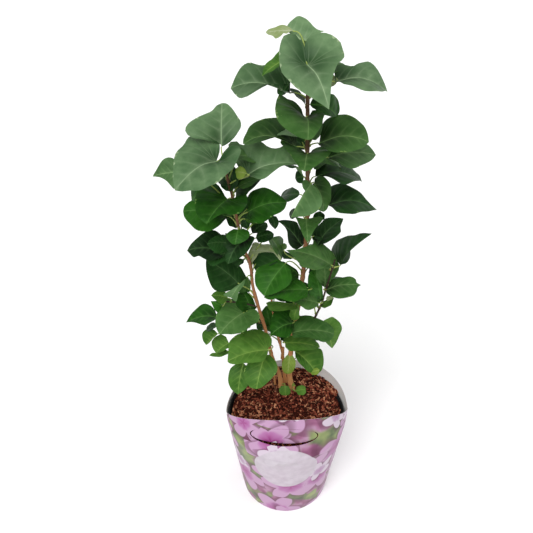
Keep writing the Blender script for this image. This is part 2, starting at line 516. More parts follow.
RIGHT, LEFT, MIDDLE, SIDE = "stem_right", "stem_left", "stem_middle", "stem_side"
RIGHT_LEAVES = (
    # right stem, crown
    Leaf((308.5, 60.5), (329, 109.5), -20, -50, 14, 0.10, "satin",
         ((305, 54), (304.5, 48), (302, 40.5), (296, 35), (288.5, 34.3), (284.5, 36), (281.8, 41),
          (280, 48), (279.5, 56), (280.5, 66), (285, 76), (294, 85.5), (306, 93.5), (317, 100.5)),
         ((304.6, 52), (304.8, 46), (307.5, 39.5), (314, 34.3), (322, 33), (330, 34.8), (336.5, 38.8),
          (341.3, 45), (343.5, 53), (343.4, 59), (337.5, 64), (334, 72), (331, 82), (330, 96)), hollow=20),
    Leaf((306, 41), (287, 26), 20, 18, 10, 0.06, "satin",
         ((311, 36), (318, 32.5), (326, 29.5), (317, 29.5), (309, 22), (303, 18), (298, 16.5), (293, 20),
          (289, 24)), ((302, 40), (296, 36.5), (290, 33), (286, 29))),
    Leaf((293, 31), (265.5, 32.5), 24, -6, 8, 0.05, "pale",
         ((288, 27), (283, 25.5), (276, 27.5), (269, 29.5)),
         ((286, 33.5), (281, 33), (279, 36.5), (276, 38), (273, 35.5), (269, 34.5))),
    Leaf((290, 84), (230.5, 88.5), 2, -5, 20, 0.12, "satin",
         ((291, 72), (288, 60), (280, 51), (273, 59), (266, 65.5), (258, 65.5), (249, 63), (243, 66),
          (237, 75)),
         ((291, 89), (284, 92.5), (281, 87), (277, 83.5), (270, 83), (264, 85), (256, 90.5), (248, 96),
          (242, 98), (236, 94.5)), hollow=36),
    Leaf((280, 62), (262, 76), -3, -3, 6, 0.04, "bright", ((280, 50.5), (273, 58.5), (265.5, 65.5)),
         ((278, 67), (271, 71))),
    Leaf((337, 77), (387.5, 92), -2, 5, 16, 0.12, "satin",
         ((335, 72), (336, 66), (342, 64.5), (350, 66.5), (357, 66), (363, 63), (368, 62), (374, 66),
          (380, 75), (385, 86)), ((339, 81), (345, 84.5), (352, 85.5), (359, 88), (366, 90.5), (376, 91.2)),
         hollow=18),
    Leaf((305, 104), (288, 88), 2, 6, 10, 0.05, "dark", ((303, 96), (296, 90)), ((300, 99), (293, 93))),
    Leaf((307, 113), (308, 140), -10, -48, 16, 0.10, "green",
         ((302, 110), (299, 106), (294, 101.5), (287, 99), (283, 96), (280.5, 94.5), (278, 98), (276, 106),
          (276, 113), (278, 120), (284, 127), (291, 132), (300, 137)),
         ((312, 111), (317, 110.5), (322, 112), (324, 115.5), (322, 120), (320, 127), (316, 133),
          (312, 138)), hollow=18),
    Leaf((312, 103), (337, 116.5), 6, 10, 10, 0.12, "deep",
         ((314, 97), (322, 94), (331, 94.5), (336, 98), (338.7, 105), (339, 111)),
         ((313, 108), (317, 110), (325, 114.5), (331, 116.5)), hollow=10),
    Leaf((296, 139), (243, 144), 0, -5, 10, 0.18, "green",
         ((298, 128), (290, 121), (279, 118.5), (270, 118.5), (262, 120), (255, 123), (250, 127),
          (247, 133), (244, 139)),
         ((292, 141), (284, 139.5), (278, 137.5), (270, 138), (264, 141), (256, 143), (248, 144.5)),
         hollow=34),
    Leaf((319, 138.5), (369, 142), -4, -10, 8, 0.14, "green",
         ((321.5, 133), (322, 127), (325.5, 121), (331, 117.5), (338, 115.5), (346, 115), (352, 117),
          (359, 122), (364, 127), (367, 134)),
         ((318, 142), (321, 146), (326, 149), (332, 151), (338, 152), (347, 151.5), (356, 149.5),
          (363, 147)), hollow=24),
    Leaf((312, 139.5), (323, 119), 4, 6, 8, 0.05, "mid", ((311, 134), (314, 127), (319, 121)),
         ((316, 139.5), (320, 134), (322, 127))),
    Leaf((336, 77), (331, 87), 3, -3, 8, 0.05, "pale", ((333, 75), (331, 81)), ((338, 80), (334.5, 84.5)),
         stalked=False),
    Leaf((289, 84), (281, 96), 6, -8, 10, 0.05, "dark", ((282, 85), (278, 89), (278, 93)),
         ((288, 89), (285.5, 93)), stalked=False),
    Leaf((306, 149), (290, 137), 8, 4, 10, 0.08, "dark", ((299, 149), (293, 145), (288, 140)),
         ((305, 143), (300, 137.5), (294, 135))),
    Leaf((303, 176), (278, 163), 4, -6, 8, 0.14, "dark", ((301, 170), (293, 164), (285, 161)),
         ((300, 174), (293, 168.8), (285, 166))),
    Leaf((329, 155.5), (376, 155), 6, 10, 12, 0.10, "mid",
         ((330, 150), (338, 147), (350, 147), (360, 147), (367, 145), (372, 150)),
         ((331, 159), (338, 162), (345, 166), (353, 168), (363, 164), (371, 160)), hollow=12),
    Leaf((317, 173), (362, 182), 10, 15, 10, 0.12, "dark",
         ((317, 166), (323, 160), (330, 158), (337, 162), (345, 166), (353, 170), (358, 174.5)),
         ((324, 175.5), (331, 176), (335, 178), (339, 182), (344, 184), (349, 183), (355, 181)), hollow=16),
    Leaf((307.5, 151.5), (304.5, 171.5), -8, -40, 14, 0.10, "green",
         ((303, 151), (298, 150.5), (292, 146), (288, 141), (283, 139), (281, 142), (284, 147), (291, 155),
          (297, 163), (300, 168)),
         ((312, 150.5), (318, 147.5), (325, 147), (330, 152), (328, 156), (322, 161), (315, 166),
          (308, 170)), hollow=10),
    # right stem, below the crown
    Leaf((311, 184), (291, 217.5), -8, -30, 18, 0.10, "mid",
         ((308, 181.5), (304, 180.5), (302, 184), (303, 189), (305, 192), (304, 197), (302, 202),
          (302, 206), (297, 210), (293, 214)),
         ((314, 186), (318, 191), (321, 198), (321, 205), (316, 211), (308, 215), (300, 216))),
    Leaf((316, 183), (323.5, 212), 3, -12, 14, 0.10, "green",
         ((311, 187), (310, 194), (312, 202), (318, 209)),
         ((315, 179), (318.5, 176.5), (323.5, 177), (328, 181.5), (330.7, 188), (330.5, 197),
          (328.5, 204.5), (326, 209.5)), hollow=12),
    Leaf((330, 201), (377, 210), 0, -5, 12, 0.12, "dark",
         ((331, 193), (331, 187), (339, 184), (345, 184.5), (352, 188), (360, 193), (366, 200), (372, 206)),
         ((329.5, 206), (334, 208.5), (338, 212), (347, 213), (354, 213.5), (361, 211.5), (369, 211)),
         hollow=18),
    Leaf((300, 194.5), (280, 199), 6, 20, 10, 0.10, "dark",
         ((298, 191), (294, 188.7), (289, 189), (284, 192)), ((297, 197), (291, 200), (286, 201.5))),
    Leaf((299, 213), (290, 218), 6, 5, 10, 0.10, "dark", ((297, 209.5), (292, 210), (289, 214)),
         ((297, 217), (293, 218.5))),
    Leaf((304, 177), (295, 178), 6, 5, 10, 0.10, "dark", ((301, 172), (297, 172)),
         ((302, 183), (298, 182))),
    Leaf((317, 222), (320, 211), 8, 14, 10, 0.10, "dark", ((313, 219), (315, 214)),
         ((324, 219), (324, 215))),
    Leaf((306, 219), (307.5, 243), -8, -30, 14, 0.10, "green",
         ((300, 218.5), (296, 217.5), (298, 222), (301, 229), (304, 236)),
         ((312, 219), (318, 217), (322, 217.5), (321, 222), (317, 226), (313, 231), (310.5, 237))),
    Leaf((316, 243), (343.5, 218.5), 4, 25, 12, 0.06, "dark",
         ((313, 239), (312, 233), (314, 228), (318, 226), (322, 223), (325, 219.5), (331, 218.2),
          (338, 218.3)),
         ((320, 244.5), (325, 243), (331, 239.5), (336, 236), (340, 232), (340, 227), (342, 222)),
         hollow=14),
    Leaf((304, 243), (277.5, 221), 4, 25, 12, 0.06, "dark",
         ((305.5, 239), (303, 234), (299, 228), (296, 222.5), (290, 221), (283, 220.5)),
         ((300, 247), (296, 248.7), (292, 247), (289, 243), (288, 237), (287.5, 231), (284, 226)),
         hollow=20),
    Leaf((331, 265), (286, 250), -20, 0, 12, 0.08, "green",
         ((337, 262), (333, 254), (327, 248), (320, 242), (313.5, 238), (312.5, 244.5), (305, 247.5),
          (296, 249.8)),
         ((328, 269), (322, 268), (316, 269.5), (309, 268), (303, 266.5), (299, 262), (293, 256))),
    Leaf((331, 279), (337, 261), -6, 10, 10, 0.05, "green", ((328, 274), (329, 266)),
         ((335, 276), (338, 270), (338.5, 265))),
    Leaf((300, 274), (279, 262), -4, 6, 10, 0.06, "deep", ((296, 269.5), (290, 266), (284, 262)),
         ((298, 279), (290, 280), (280, 276), (276, 268)), hollow=10),
    Leaf((285, 264), (264, 296), -10, -30, 12, 0.10, "deep",
         ((279, 259.5), (268, 264), (258, 268.5), (255.5, 276), (256, 284), (259, 289.5)),
         ((290, 270), (291, 280), (284, 288), (274, 293))),
    Leaf((308, 290), (264, 297.5), -30, -10, 10, 0.10, "deep",
         ((306, 287), (302, 282), (296, 278.5), (289, 274.5), (282, 274), (277, 277.5), (272, 284),
          (268, 291)),
         ((306, 297), (298, 300), (290, 301), (284, 299), (278, 298), (272, 299.5), (268, 299))),
    Leaf((318, 303), (289, 300.5), -33, -10, 8, 0.08, "green",
         ((313, 296), (305, 293), (298, 294), (293, 297)),
         ((318, 306), (312, 308.5), (306, 309), (302, 306), (296, 303))),
    Leaf((281, 253), (294, 257.5), 6, 0, 8, 0.06, "dark", ((285, 251.5), (290, 254)),
         ((284, 258.5), (290, 258.7))),
)
SIDE_LEAVES = (
    # side stem
    Leaf((338, 263.5), (372, 233.5), 0, 5, 12, 0.04, "dark",
         ((334, 258), (332, 253), (333, 247), (336, 242), (341, 239), (348, 236.3), (355, 235.8),
          (361, 233.7)),
         ((342, 264), (347, 262), (350, 258), (351, 253), (350, 248), (350, 244), (355, 242), (362, 238.5),
          (367, 236)), hollow=14),
    Leaf((325, 289), (324, 262), -3, 10, 12, 0.06, "green",
         ((321, 283), (317, 277), (316.5, 271), (319, 265)),
         ((328, 284), (332, 277), (333, 270), (330, 264)), hollow=10),
    Leaf((321, 303), (313, 269.5), -6, 8, 14, 0.08, "deep",
         ((315, 304), (311, 299), (309, 292), (308.5, 284), (309, 275)),
         ((323, 298), (322, 290), (321, 281), (318, 273)), hollow=8),
    Leaf((326, 288), (361, 285), -2, 0, 12, 0.08, "green",
         ((330, 281), (336, 279), (343, 278), (350, 277), (355, 279.5), (356, 282.7)),
         ((327, 293), (332, 296), (339, 298), (346, 297), (353, 295), (356, 291), (357, 287.5)), hollow=12),
    Leaf((320, 306), (334, 298), 0, 5, 10, 0.08, "bright", ((323, 302), (328, 299.5)),
         ((325, 307.7), (330, 305))),
    Leaf((326, 299), (334, 297), -4, 2, 4, 0.0, "pale", ((328, 296.5), (331, 296.3)),
         ((328, 300.5), (331, 299)), stalked=False),
)
LEFT_LEAVES = (
    # left stem, crown
    Leaf((216, 158), (175, 190.5), -10, -40, 12, 0.10, "satin",
         ((219, 153), (219.5, 147), (217, 139), (209, 135), (200, 134), (191, 137), (184, 145), (178, 151),
          (175, 157), (174, 168), (173.5, 180)),
         ((221, 158), (224, 152), (228, 147), (232, 145), (237, 146), (240.5, 150), (239, 156), (235, 164),
          (230, 171), (222, 178), (212, 184.5), (202, 189), (190, 190), (182, 191)), hollow=16),
    Leaf((221, 144.5), (222, 103), 8, 45, 14, 0.08, "satin",
         ((218, 141), (213, 139), (203, 139), (192, 137), (187.5, 134), (185.7, 130), (187, 126),
          (190, 122.5), (197, 118), (205, 114.5), (212, 111.5), (217, 106)),
         ((225, 143), (230, 141), (234, 137), (238, 131), (240.5, 126), (240, 121.5), (237, 117),
          (234, 112), (230, 107), (226, 104)), hollow=17),
    Leaf((247, 172.5), (302, 164.5), 0, 10, 12, 0.12, "satin",
         ((240, 169), (234, 158), (229, 147), (230, 141.5), (237, 141.5), (243, 145.8), (252, 141),
          (261, 141.5), (266, 146), (273, 149), (279, 148.5), (284, 146), (290, 149.5), (296, 156)),
         ((251, 176), (258, 178.5), (263, 178.5), (268, 176), (274, 171), (281, 166.5), (289, 165),
          (296, 165)), hollow=13),
    Leaf((178, 172), (152.5, 176.5), 12, 10, 14, 0.10, "mid",
         ((177, 162), (173, 159), (168, 158), (163.5, 160), (160, 164.5), (157, 170)),
         ((178, 186), (174, 188.5), (170, 184.5), (166, 180), (161, 177.2))),
    Leaf((247, 174), (235.3, 172), -12, -4, 6, 0.10, "young", ((243.5, 168.5), (239.5, 167), (236.5, 169)),
         ((243, 177), (238, 178.2))),
    Leaf((238, 187), (262, 178.5), 8, 10, 10, 0.08, "green", ((242, 181), (250, 178)),
         ((244, 188.5), (251, 185), (257, 181))),
    Leaf((236, 200), (250, 185), 12, 5, 10, 0.08, "dark", ((238, 189), (245, 186)),
         ((243, 197), (248, 192))),
    Leaf((234, 166), (226, 191), 12, -4, 10, 0.08, "dark", ((226, 169), (221, 178), (221.5, 186)),
         ((238.5, 172), (237.5, 182), (232, 190))),
    Leaf((235, 192), (263, 178), 14, 8, 10, 0.08, "dark", ((235, 183), (244, 175), (254, 175)),
         ((243, 195), (250, 190), (257, 183.5))),
    Leaf((247.5, 229), (241, 212), 8, 4, 8, 0.05, "dark", ((242, 226), (238.5, 217)),
         ((250, 222), (246.5, 214))),
    Leaf((263, 331), (258, 312), 8, 4, 8, 0.05, "dark", ((257, 328), (255.5, 318)),
         ((264.5, 325), (262, 316))),
    Leaf((249, 293), (240, 281.5), 6, 4, 8, 0.05, "deep", ((243, 291), (238, 286)),
         ((250, 287), (246, 281))),
    Leaf((205, 192), (191.5, 200), 14, 5, 10, 0.08, "deep", ((199, 188), (192, 189.5)),
         ((203, 200), (196, 201.5))),
    Leaf((235, 176), (218, 183), 10, 5, 10, 0.08, "dark", ((230, 172), (223, 178)),
         ((231, 185), (224, 185))),
    Leaf((228, 199), (206.5, 224), -8, -40, 10, 0.10, "deep",
         ((224, 195), (220, 188), (216, 184), (210, 184), (203, 188.5), (197.5, 193), (195.5, 202),
          (196, 209), (198, 215), (202, 220)),
         ((232, 199), (238, 196), (243, 193.5), (246, 195), (246.5, 201), (244, 208), (239, 213),
          (231, 214.5), (224, 213.5), (218, 215), (213, 218.5))),
    Leaf((248, 212), (287, 202.5), -2, 5, 12, 0.12, "deep",
         ((247, 206), (247, 200), (250, 194), (256, 190), (263, 188), (269, 189.5), (276, 193.5),
          (282, 198)),
         ((248, 217), (251, 220.5), (256, 222.5), (262, 222.5), (268, 219), (274, 214.5), (280, 212),
          (284, 208.5))),
    Leaf((242, 213), (247, 196), 2, 5, 8, 0.05, "dark", ((242, 206), (244, 199)), ((246, 208), (248, 201))),
    Leaf((245, 219), (257, 223), -2, 0, 8, 0.05, "bright", ((248, 219), (253, 221)),
         ((248, 222), (253, 224))),
    Leaf((227, 214), (183, 211.5), 8, 0, 12, 0.10, "deep",
         ((224, 205), (210, 198), (197, 198.5), (190, 202), (185, 206.5)),
         ((225, 219), (219, 225), (212, 229.5), (205, 231), (197, 229.5), (190, 223), (185, 217)),
         hollow=14),
    Leaf((240, 224), (226, 219), 10, 10, 10, 0.10, "dark", ((238, 216), (231, 214), (226, 215)),
         ((236, 228), (230, 225.5))),
    # left stem, below the crown
    Leaf((227, 246), (187, 250.5), 4, -5, 14, 0.10, "dark",
         ((226, 240), (220, 234.5), (215, 231), (209, 231), (203, 234), (197, 239), (191, 245)),
         ((226, 254), (218, 258), (210, 260), (204, 258), (199, 255.5), (195, 257), (190, 253)), hollow=34),
    Leaf((228, 243), (207, 244), -4, -10, 14, 0.10, "dark",
         ((227, 237), (223, 235), (216, 236.5), (210, 240.5)), ((226, 251), (217, 252), (211, 248.5))),
    Leaf((230, 252), (207, 261), -3, -12, 14, 0.10, "dark", ((226, 250), (215, 252), (208, 256)),
         ((227, 260), (221, 262), (214, 265.5), (209, 263.5))),
    Leaf((238, 229.5), (235, 244.5), -14, -15, 10, 0.10, "deep",
         ((234, 229.5), (229, 232.5), (227, 237), (230, 241), (233, 243.5)),
         ((243, 229), (248, 231.5), (249, 235), (246, 239.5), (240, 242.5))),
    Leaf((242, 238), (228, 264), -8, -20, 14, 0.10, "dark",
         ((236, 236), (228, 238.5), (226.5, 246), (226, 255), (226.5, 261)),
         ((249, 236), (254, 238), (252, 243), (249, 248.5), (243, 255), (235, 260.5)), hollow=14),
    Leaf((252, 232), (267, 223), 8, 10, 12, 0.10, "dark", ((251, 226), (256, 222), (262, 222)),
         ((257, 232.5), (263, 231), (267, 227)), hollow=8),
    Leaf((256, 238), (274, 234), 2, 5, 12, 0.10, "dark", ((258, 233), (264, 231), (270, 231.5)),
         ((259, 242), (266, 241), (272, 238))),
    Leaf((271, 216), (275, 229.5), 4, -6, 12, 0.10, "dark", ((268.5, 219), (271, 224)),
         ((276, 217), (278, 221), (277, 226))),
    Leaf((238, 283), (206, 259.5), 4, 10, 12, 0.10, "dark",
         ((246, 277), (243, 272), (240, 267), (236, 263), (228, 261), (218, 260), (210, 260)),
         ((232, 289), (222, 291.5), (215, 289.5), (211, 284), (208, 275), (206.5, 266))),
    Leaf((244, 259), (237.5, 267.5), -4, -6, 10, 0.08, "dark", ((238, 259), (233, 262.5)), ((243, 263),)),
    Leaf((247, 277), (231, 298), -10, -18, 14, 0.08, "mid", ((240, 284), (232, 289.5), (224, 294.5)),
         ((243, 286), (239, 291), (236.5, 300.5))),
    Leaf((250, 290), (247, 276), 0, 6, 10, 0.05, "green", ((244, 284),), ((250.5, 282),)),
    Leaf((243, 313), (219.5, 334.5), -8, -25, 8, 0.10, "green",
         ((240, 307), (235, 301), (229, 299), (223, 304), (218, 312), (216, 320), (217, 328)),
         ((248, 310), (254, 309.5), (258, 313), (259, 318), (256, 323), (249, 326.5), (242, 332),
          (234, 333.5), (226, 333.5))),
    Leaf((251, 311), (241.5, 290), 2, 10, 12, 0.10, "deep", ((243, 311), (237, 305), (237, 297)),
         ((256, 308), (253, 300), (248, 293.5))),
    Leaf((228, 298), (211, 295.5), 4, 0, 10, 0.10, "bright", ((223, 290.5), (215, 292.5)),
         ((222, 304), (216, 299.5))),
    Leaf((222, 306), (210.5, 301), 4, 0, 10, 0.10, "deep", ((219, 301), (214, 301.5)),
         ((219, 313), (215, 309.5))),
    Leaf((249, 328), (241, 333), -4, -6, 8, 0.08, "bright", ((245, 327.5),), ((246, 333),)),
    Leaf((217, 316), (186, 322.5), 6, -5, 12, 0.10, "deep",
         ((214, 310), (210, 306), (205, 304.2), (198, 308), (192, 314)),
         ((215, 319.5), (210, 322), (205, 324.5), (200, 323.5), (193, 322)), hollow=10),
    Leaf((218, 334), (206, 345), 6, -5, 8, 0.04, "bright",
         ((214, 330.5), (208, 329.5), (203.3, 333), (203.5, 340)), ((215, 336.5), (212, 339), (209, 343))),
    Leaf((218, 325.5), (206, 331), 8, -3, 8, 0.05, "dark", ((213.5, 323), (208.5, 326)),
         ((214, 328), (210, 331))),
    Leaf((229, 343), (216, 353.5), 6, -6, 12, 0.10, "bright",
         ((226, 337.5), (221, 335), (216, 334.5), (212, 340), (213, 347)), ((228, 348), (222, 351))),
    Leaf((229, 351.5), (209, 355.5), 6, 0, 12, 0.08, "bright", ((223, 349.5), (217, 353.5), (213, 353)),
         ((227, 354), (221, 356.2), (214, 356.3))),
    # round the foot
    Leaf((268, 350), (227.5, 361.5), -34, -18, 8, 0.12, "bright",
         ((271, 345), (271, 339), (266, 333), (258, 330), (251, 330), (244, 333), (236, 336), (230, 342),
          (229, 350), (228.5, 356)),
         ((266, 356), (262, 361), (253, 362), (245, 362.5), (236, 364), (230, 363))),
    Leaf((265, 355), (256.5, 389), -22, -35, 8, 0.10, "bright",
         ((258, 361), (250, 362.5), (245.5, 368), (245.2, 376), (247, 382), (251, 387)),
         ((269, 355), (273, 359), (276.5, 365), (276.5, 371), (272, 377), (267, 382), (261, 387))),
    Leaf((243, 363.5), (238, 394.5), -14, -25, 10, 0.10, "bright",
         ((236, 364.5), (231, 369), (229, 376), (229.2, 383), (232, 389)),
         ((247, 368), (248, 376), (247.5, 384.5), (243, 390)), hollow=8),
)
MIDDLE_LEAVES = (
    Leaf((252.5, 263), (254, 243.5), -29, 10, 6, 0.06, "pale", ((247.5, 257), (249.5, 252), (252, 246.5)),
         ((255, 257.5), (257.5, 253.5), (257.5, 247))),
    Leaf((252, 250.5), (276, 253), -31, 0, 8, 0.05, "pale",
         ((252, 246.5), (254, 243), (257, 242.7), (261, 244.6), (268, 244.5), (271.5, 246.5),
          (274.5, 250.5)), ((255, 256.5), (258, 253.6), (262, 252.3), (267, 252), (272, 252.6)),
         stalked=False),
    Leaf((269, 247.5), (280.8, 261), -32, -12, 8, 0.05, "pale",
         ((273.5, 249.5), (277.5, 254), (280.5, 257.5)), ((269, 251), (273.5, 252.8), (278, 257.3)),
         stalked=False),
    Leaf((279, 260), (256.5, 272), -26, -8, 10, 0.08, "dark",
         ((278, 256), (272, 252.5), (265, 252.5), (259, 254.5), (255, 259), (254, 266)),
         ((274, 264), (266, 268), (259, 272))),
    Leaf((271.5, 238.5), (281.3, 260), -24, 0, 10, 0.08, "green",
         ((275, 237.3), (281, 237.4), (283, 240), (282.6, 245), (283.3, 250), (282.8, 255)),
         ((269, 241), (271.5, 246), (275, 251), (278.5, 256.5)), roll=-10),
    Leaf((284, 250), (284, 243), -20, 0, 8, 0.05, "dark", ((282, 248), (282, 245)),
         ((286, 248), (286, 245))),
    Leaf((292, 322), (270.5, 335.5), -24, -12, 10, 0.12, "deep",
         ((291, 314), (287, 311), (280, 311), (275, 312.5), (272, 318), (270.5, 327)),
         ((291, 333), (287, 337), (280, 336.3), (274, 335.3)), hollow=10),
    Leaf((298, 305), (266, 303), -24, 4, 8, 0.05, "bright",
         ((294, 303.5), (286, 305), (279, 302), (271, 301.5)),
         ((296, 309), (288, 309.5), (280, 310.5), (271, 310))),
    Leaf((270, 333), (266, 305.5), 4, 8, 10, 0.06, "deep", ((266, 325), (262, 313)),
         ((273, 325), (273, 314), (270, 308)), hollow=10),
    Leaf((299, 304), (294, 321), -26, -4, 10, 0.06, "bright", ((292, 308), (290, 315)),
         ((298.5, 310), (299, 317))),
    Leaf((292, 333), (334, 334), -36, -5, 8, 0.12, "green",
         ((289.5, 326), (294, 319), (301, 316.5), (311, 316.5), (320, 320), (328, 324), (333, 329)),
         ((294, 338), (302, 337), (310, 337), (316, 339), (322, 341.5), (328, 341), (332, 338))),
    Leaf((325, 329), (332, 348.5), -28, -6, 8, 0.08, "bright", ((323, 334), (326, 341.5), (329, 345)),
         ((324, 321), (328, 319), (332, 317.5), (337, 320.5), (340.5, 325), (341.5, 329), (338.5, 336),
          (335.5, 342.5))),
    Leaf((285, 343), (320, 347.5), -30, 0, 8, 0.08, "bright",
         ((284, 339), (292, 336), (302, 336), (310, 338), (315, 341), (318, 344)),
         ((286, 347), (290, 350.5), (296, 350.5), (303, 349.5), (312, 349.5))),
    Leaf((296, 351), (317, 374), -16, -20, 8, 0.08, "bright",
         ((301, 349), (309, 349.5), (316, 348.5), (320.5, 349.5), (322.7, 356), (323, 363), (321, 370)),
         ((296, 357), (300, 363), (305, 368), (310, 372)), hollow=8),
    Leaf((319.5, 370), (310, 372), -36, -3, 6, 0.0, "young", ((316, 368.3), (312, 369)),
         ((318, 373.5), (313, 374.3)), stalked=False),
    Leaf((290, 353.5), (288, 374), -10, -14, 8, 0.10, "young",
         ((286, 357), (283, 362), (282.7, 368), (285, 372.5)),
         ((293, 357), (295, 362), (294, 368), (291, 372.5))),
    Leaf((285, 385.5), (285.5, 395.5), -20, -8, 8, 0.10, "bright",
         ((281.5, 386.5), (279.7, 390), (281.5, 394)), ((288.5, 387), (290, 391), (288.5, 394.3))),
    Leaf((296, 391), (305.8, 389.5), -20, 0, 8, 0.10, "bright", ((297, 387.5), (301, 386), (304.5, 387)),
         ((299, 394.5), (303, 394.5), (305.3, 392))),
    Leaf((282.5, 401.5), (278.5, 399.5), -29, 0, 6, 0.05, "deep", ((281, 400), (279.5, 399)),
         ((281.5, 402.3), (279.5, 401.2)), stalked=False),
    Leaf((282.5, 401.5), (285.5, 400), -29, 0, 6, 0.05, "deep", ((283.3, 400), (284.6, 399.6)),
         ((284, 401.9), (285, 401)), stalked=False),
    Leaf((292.5, 389), (293.5, 382.5), -16, 0, 8, 0.05, "young", ((291.8, 386),), ((295, 386),)),
)
LEAVES = {RIGHT: RIGHT_LEAVES, SIDE: SIDE_LEAVES, LEFT: LEFT_LEAVES, MIDDLE: MIDDLE_LEAVES}

# half of a plain heart's margin from the top of the lobe to the tip: across in half widths and
# along in lengths, the notch at (0, 0) and the tip at (0, 1)
MARGIN = np.array((
    (0.30, -0.135), (0.52, -0.13), (0.74, -0.055), (0.90, 0.07), (0.985, 0.20), (1.0, 0.31), (0.95, 0.43),
    (0.84, 0.545), (0.68, 0.66), (0.49, 0.76), (0.30, 0.845), (0.15, 0.915), (0.05, 0.965)))
MARGIN_STEP = 0.02  # of a blade's length
RING_PLACES = 16

# side veins: where they meet the margin, of its run, how far forward they run as they go out, the
# lowest and highest place where they leave the midrib, and where on the way they bend
VEINS_AT = (0.10, 0.25, 0.39, 0.52, 0.64, 0.75, 0.86)
LAST_ROW_AT = 0.965
ROWS_BETWEEN = 2
VEIN_FORWARD = 0.42
LOWEST_START, HIGHEST_START = 0.06, 0.97
BEND_OUT, BEND_ON = 0.6, 0.36
COLUMNS = 9
FULL_SIZE = 55  # the width of a full-grown blade, whose veins have the widths below
MIDRIB_WIDTH = (1.15, 0.35)
VEIN_WIDTH, VEIN_TAPER = 0.5, 0.8
VEIN_FOOT, VEIN_GROWS = 0.15, 2.5  # a side vein is this share of its width at its foot, and widens
VEIN_PALES, FOOT_PALES, RIM_SHOWS = 0.35, 2.5, 0.72

# a blade's bow, of its length, its margin's turn down and waves, and its thickness
BOWS_FROM = -0.1
CURL = 0.08  # how far the margin turns down, of the half width
WAVE, WAVES_ALONG, OTHER_SIDE_LATE = 0.02, 1.9, 1.3  # height of the full width, number, shift in radians
PHASE_STEP, PHASE_REPEAT = 0.05, 16  # the waves start at another place on each blade
PUCKER, PUCKER_POWER = 0.008, 0.7
THICKNESS = 0.32
NORMAL_STEP = 0.4

# the funnel at the foot, in widths of the leaf's hollow
FUNNEL_DEPTH, FUNNEL_SPREAD, FUNNEL_LONG = 0.3, 0.6, 1.3
DARK_SPREAD = 1.15
NOTCH_NARROWS, NOTCH_RUN = 0.7, 2.6

# the fit of a margin to the picture, in its pixels
FITTING_ROUNDS = 10
DAMPING = 0.01
EDGE_BLUR = 0.7
NUDGE = 0.5
LONGEST_STEP = 8
PROBE = 10  # millimetres
# limits of a traced margin, of a blade's length
WIDEST_REACH, LONGEST_REACH = 0.8, (-0.85, 1.15)
OVERLAP = 0.16  # how far a lobe of a funnel-shaped blade may reach over its midline
LEAST_HALF = 0.4  # millimetres
# what makes a blade's roll odd: halves that differ, are too wide or have too long a lobe, of its
# length, and each degree away from the roll that its row states
ROLLS = range(-60, 61, 4)
HOPELESS = 99
NARROWEST_HALF, WIDEST_HALF, LONGEST_LOBE = 0.02, 0.6, 0.3
WIDE_COST, LOBE_COST, ROLL_COST = 3, 2, 0.012


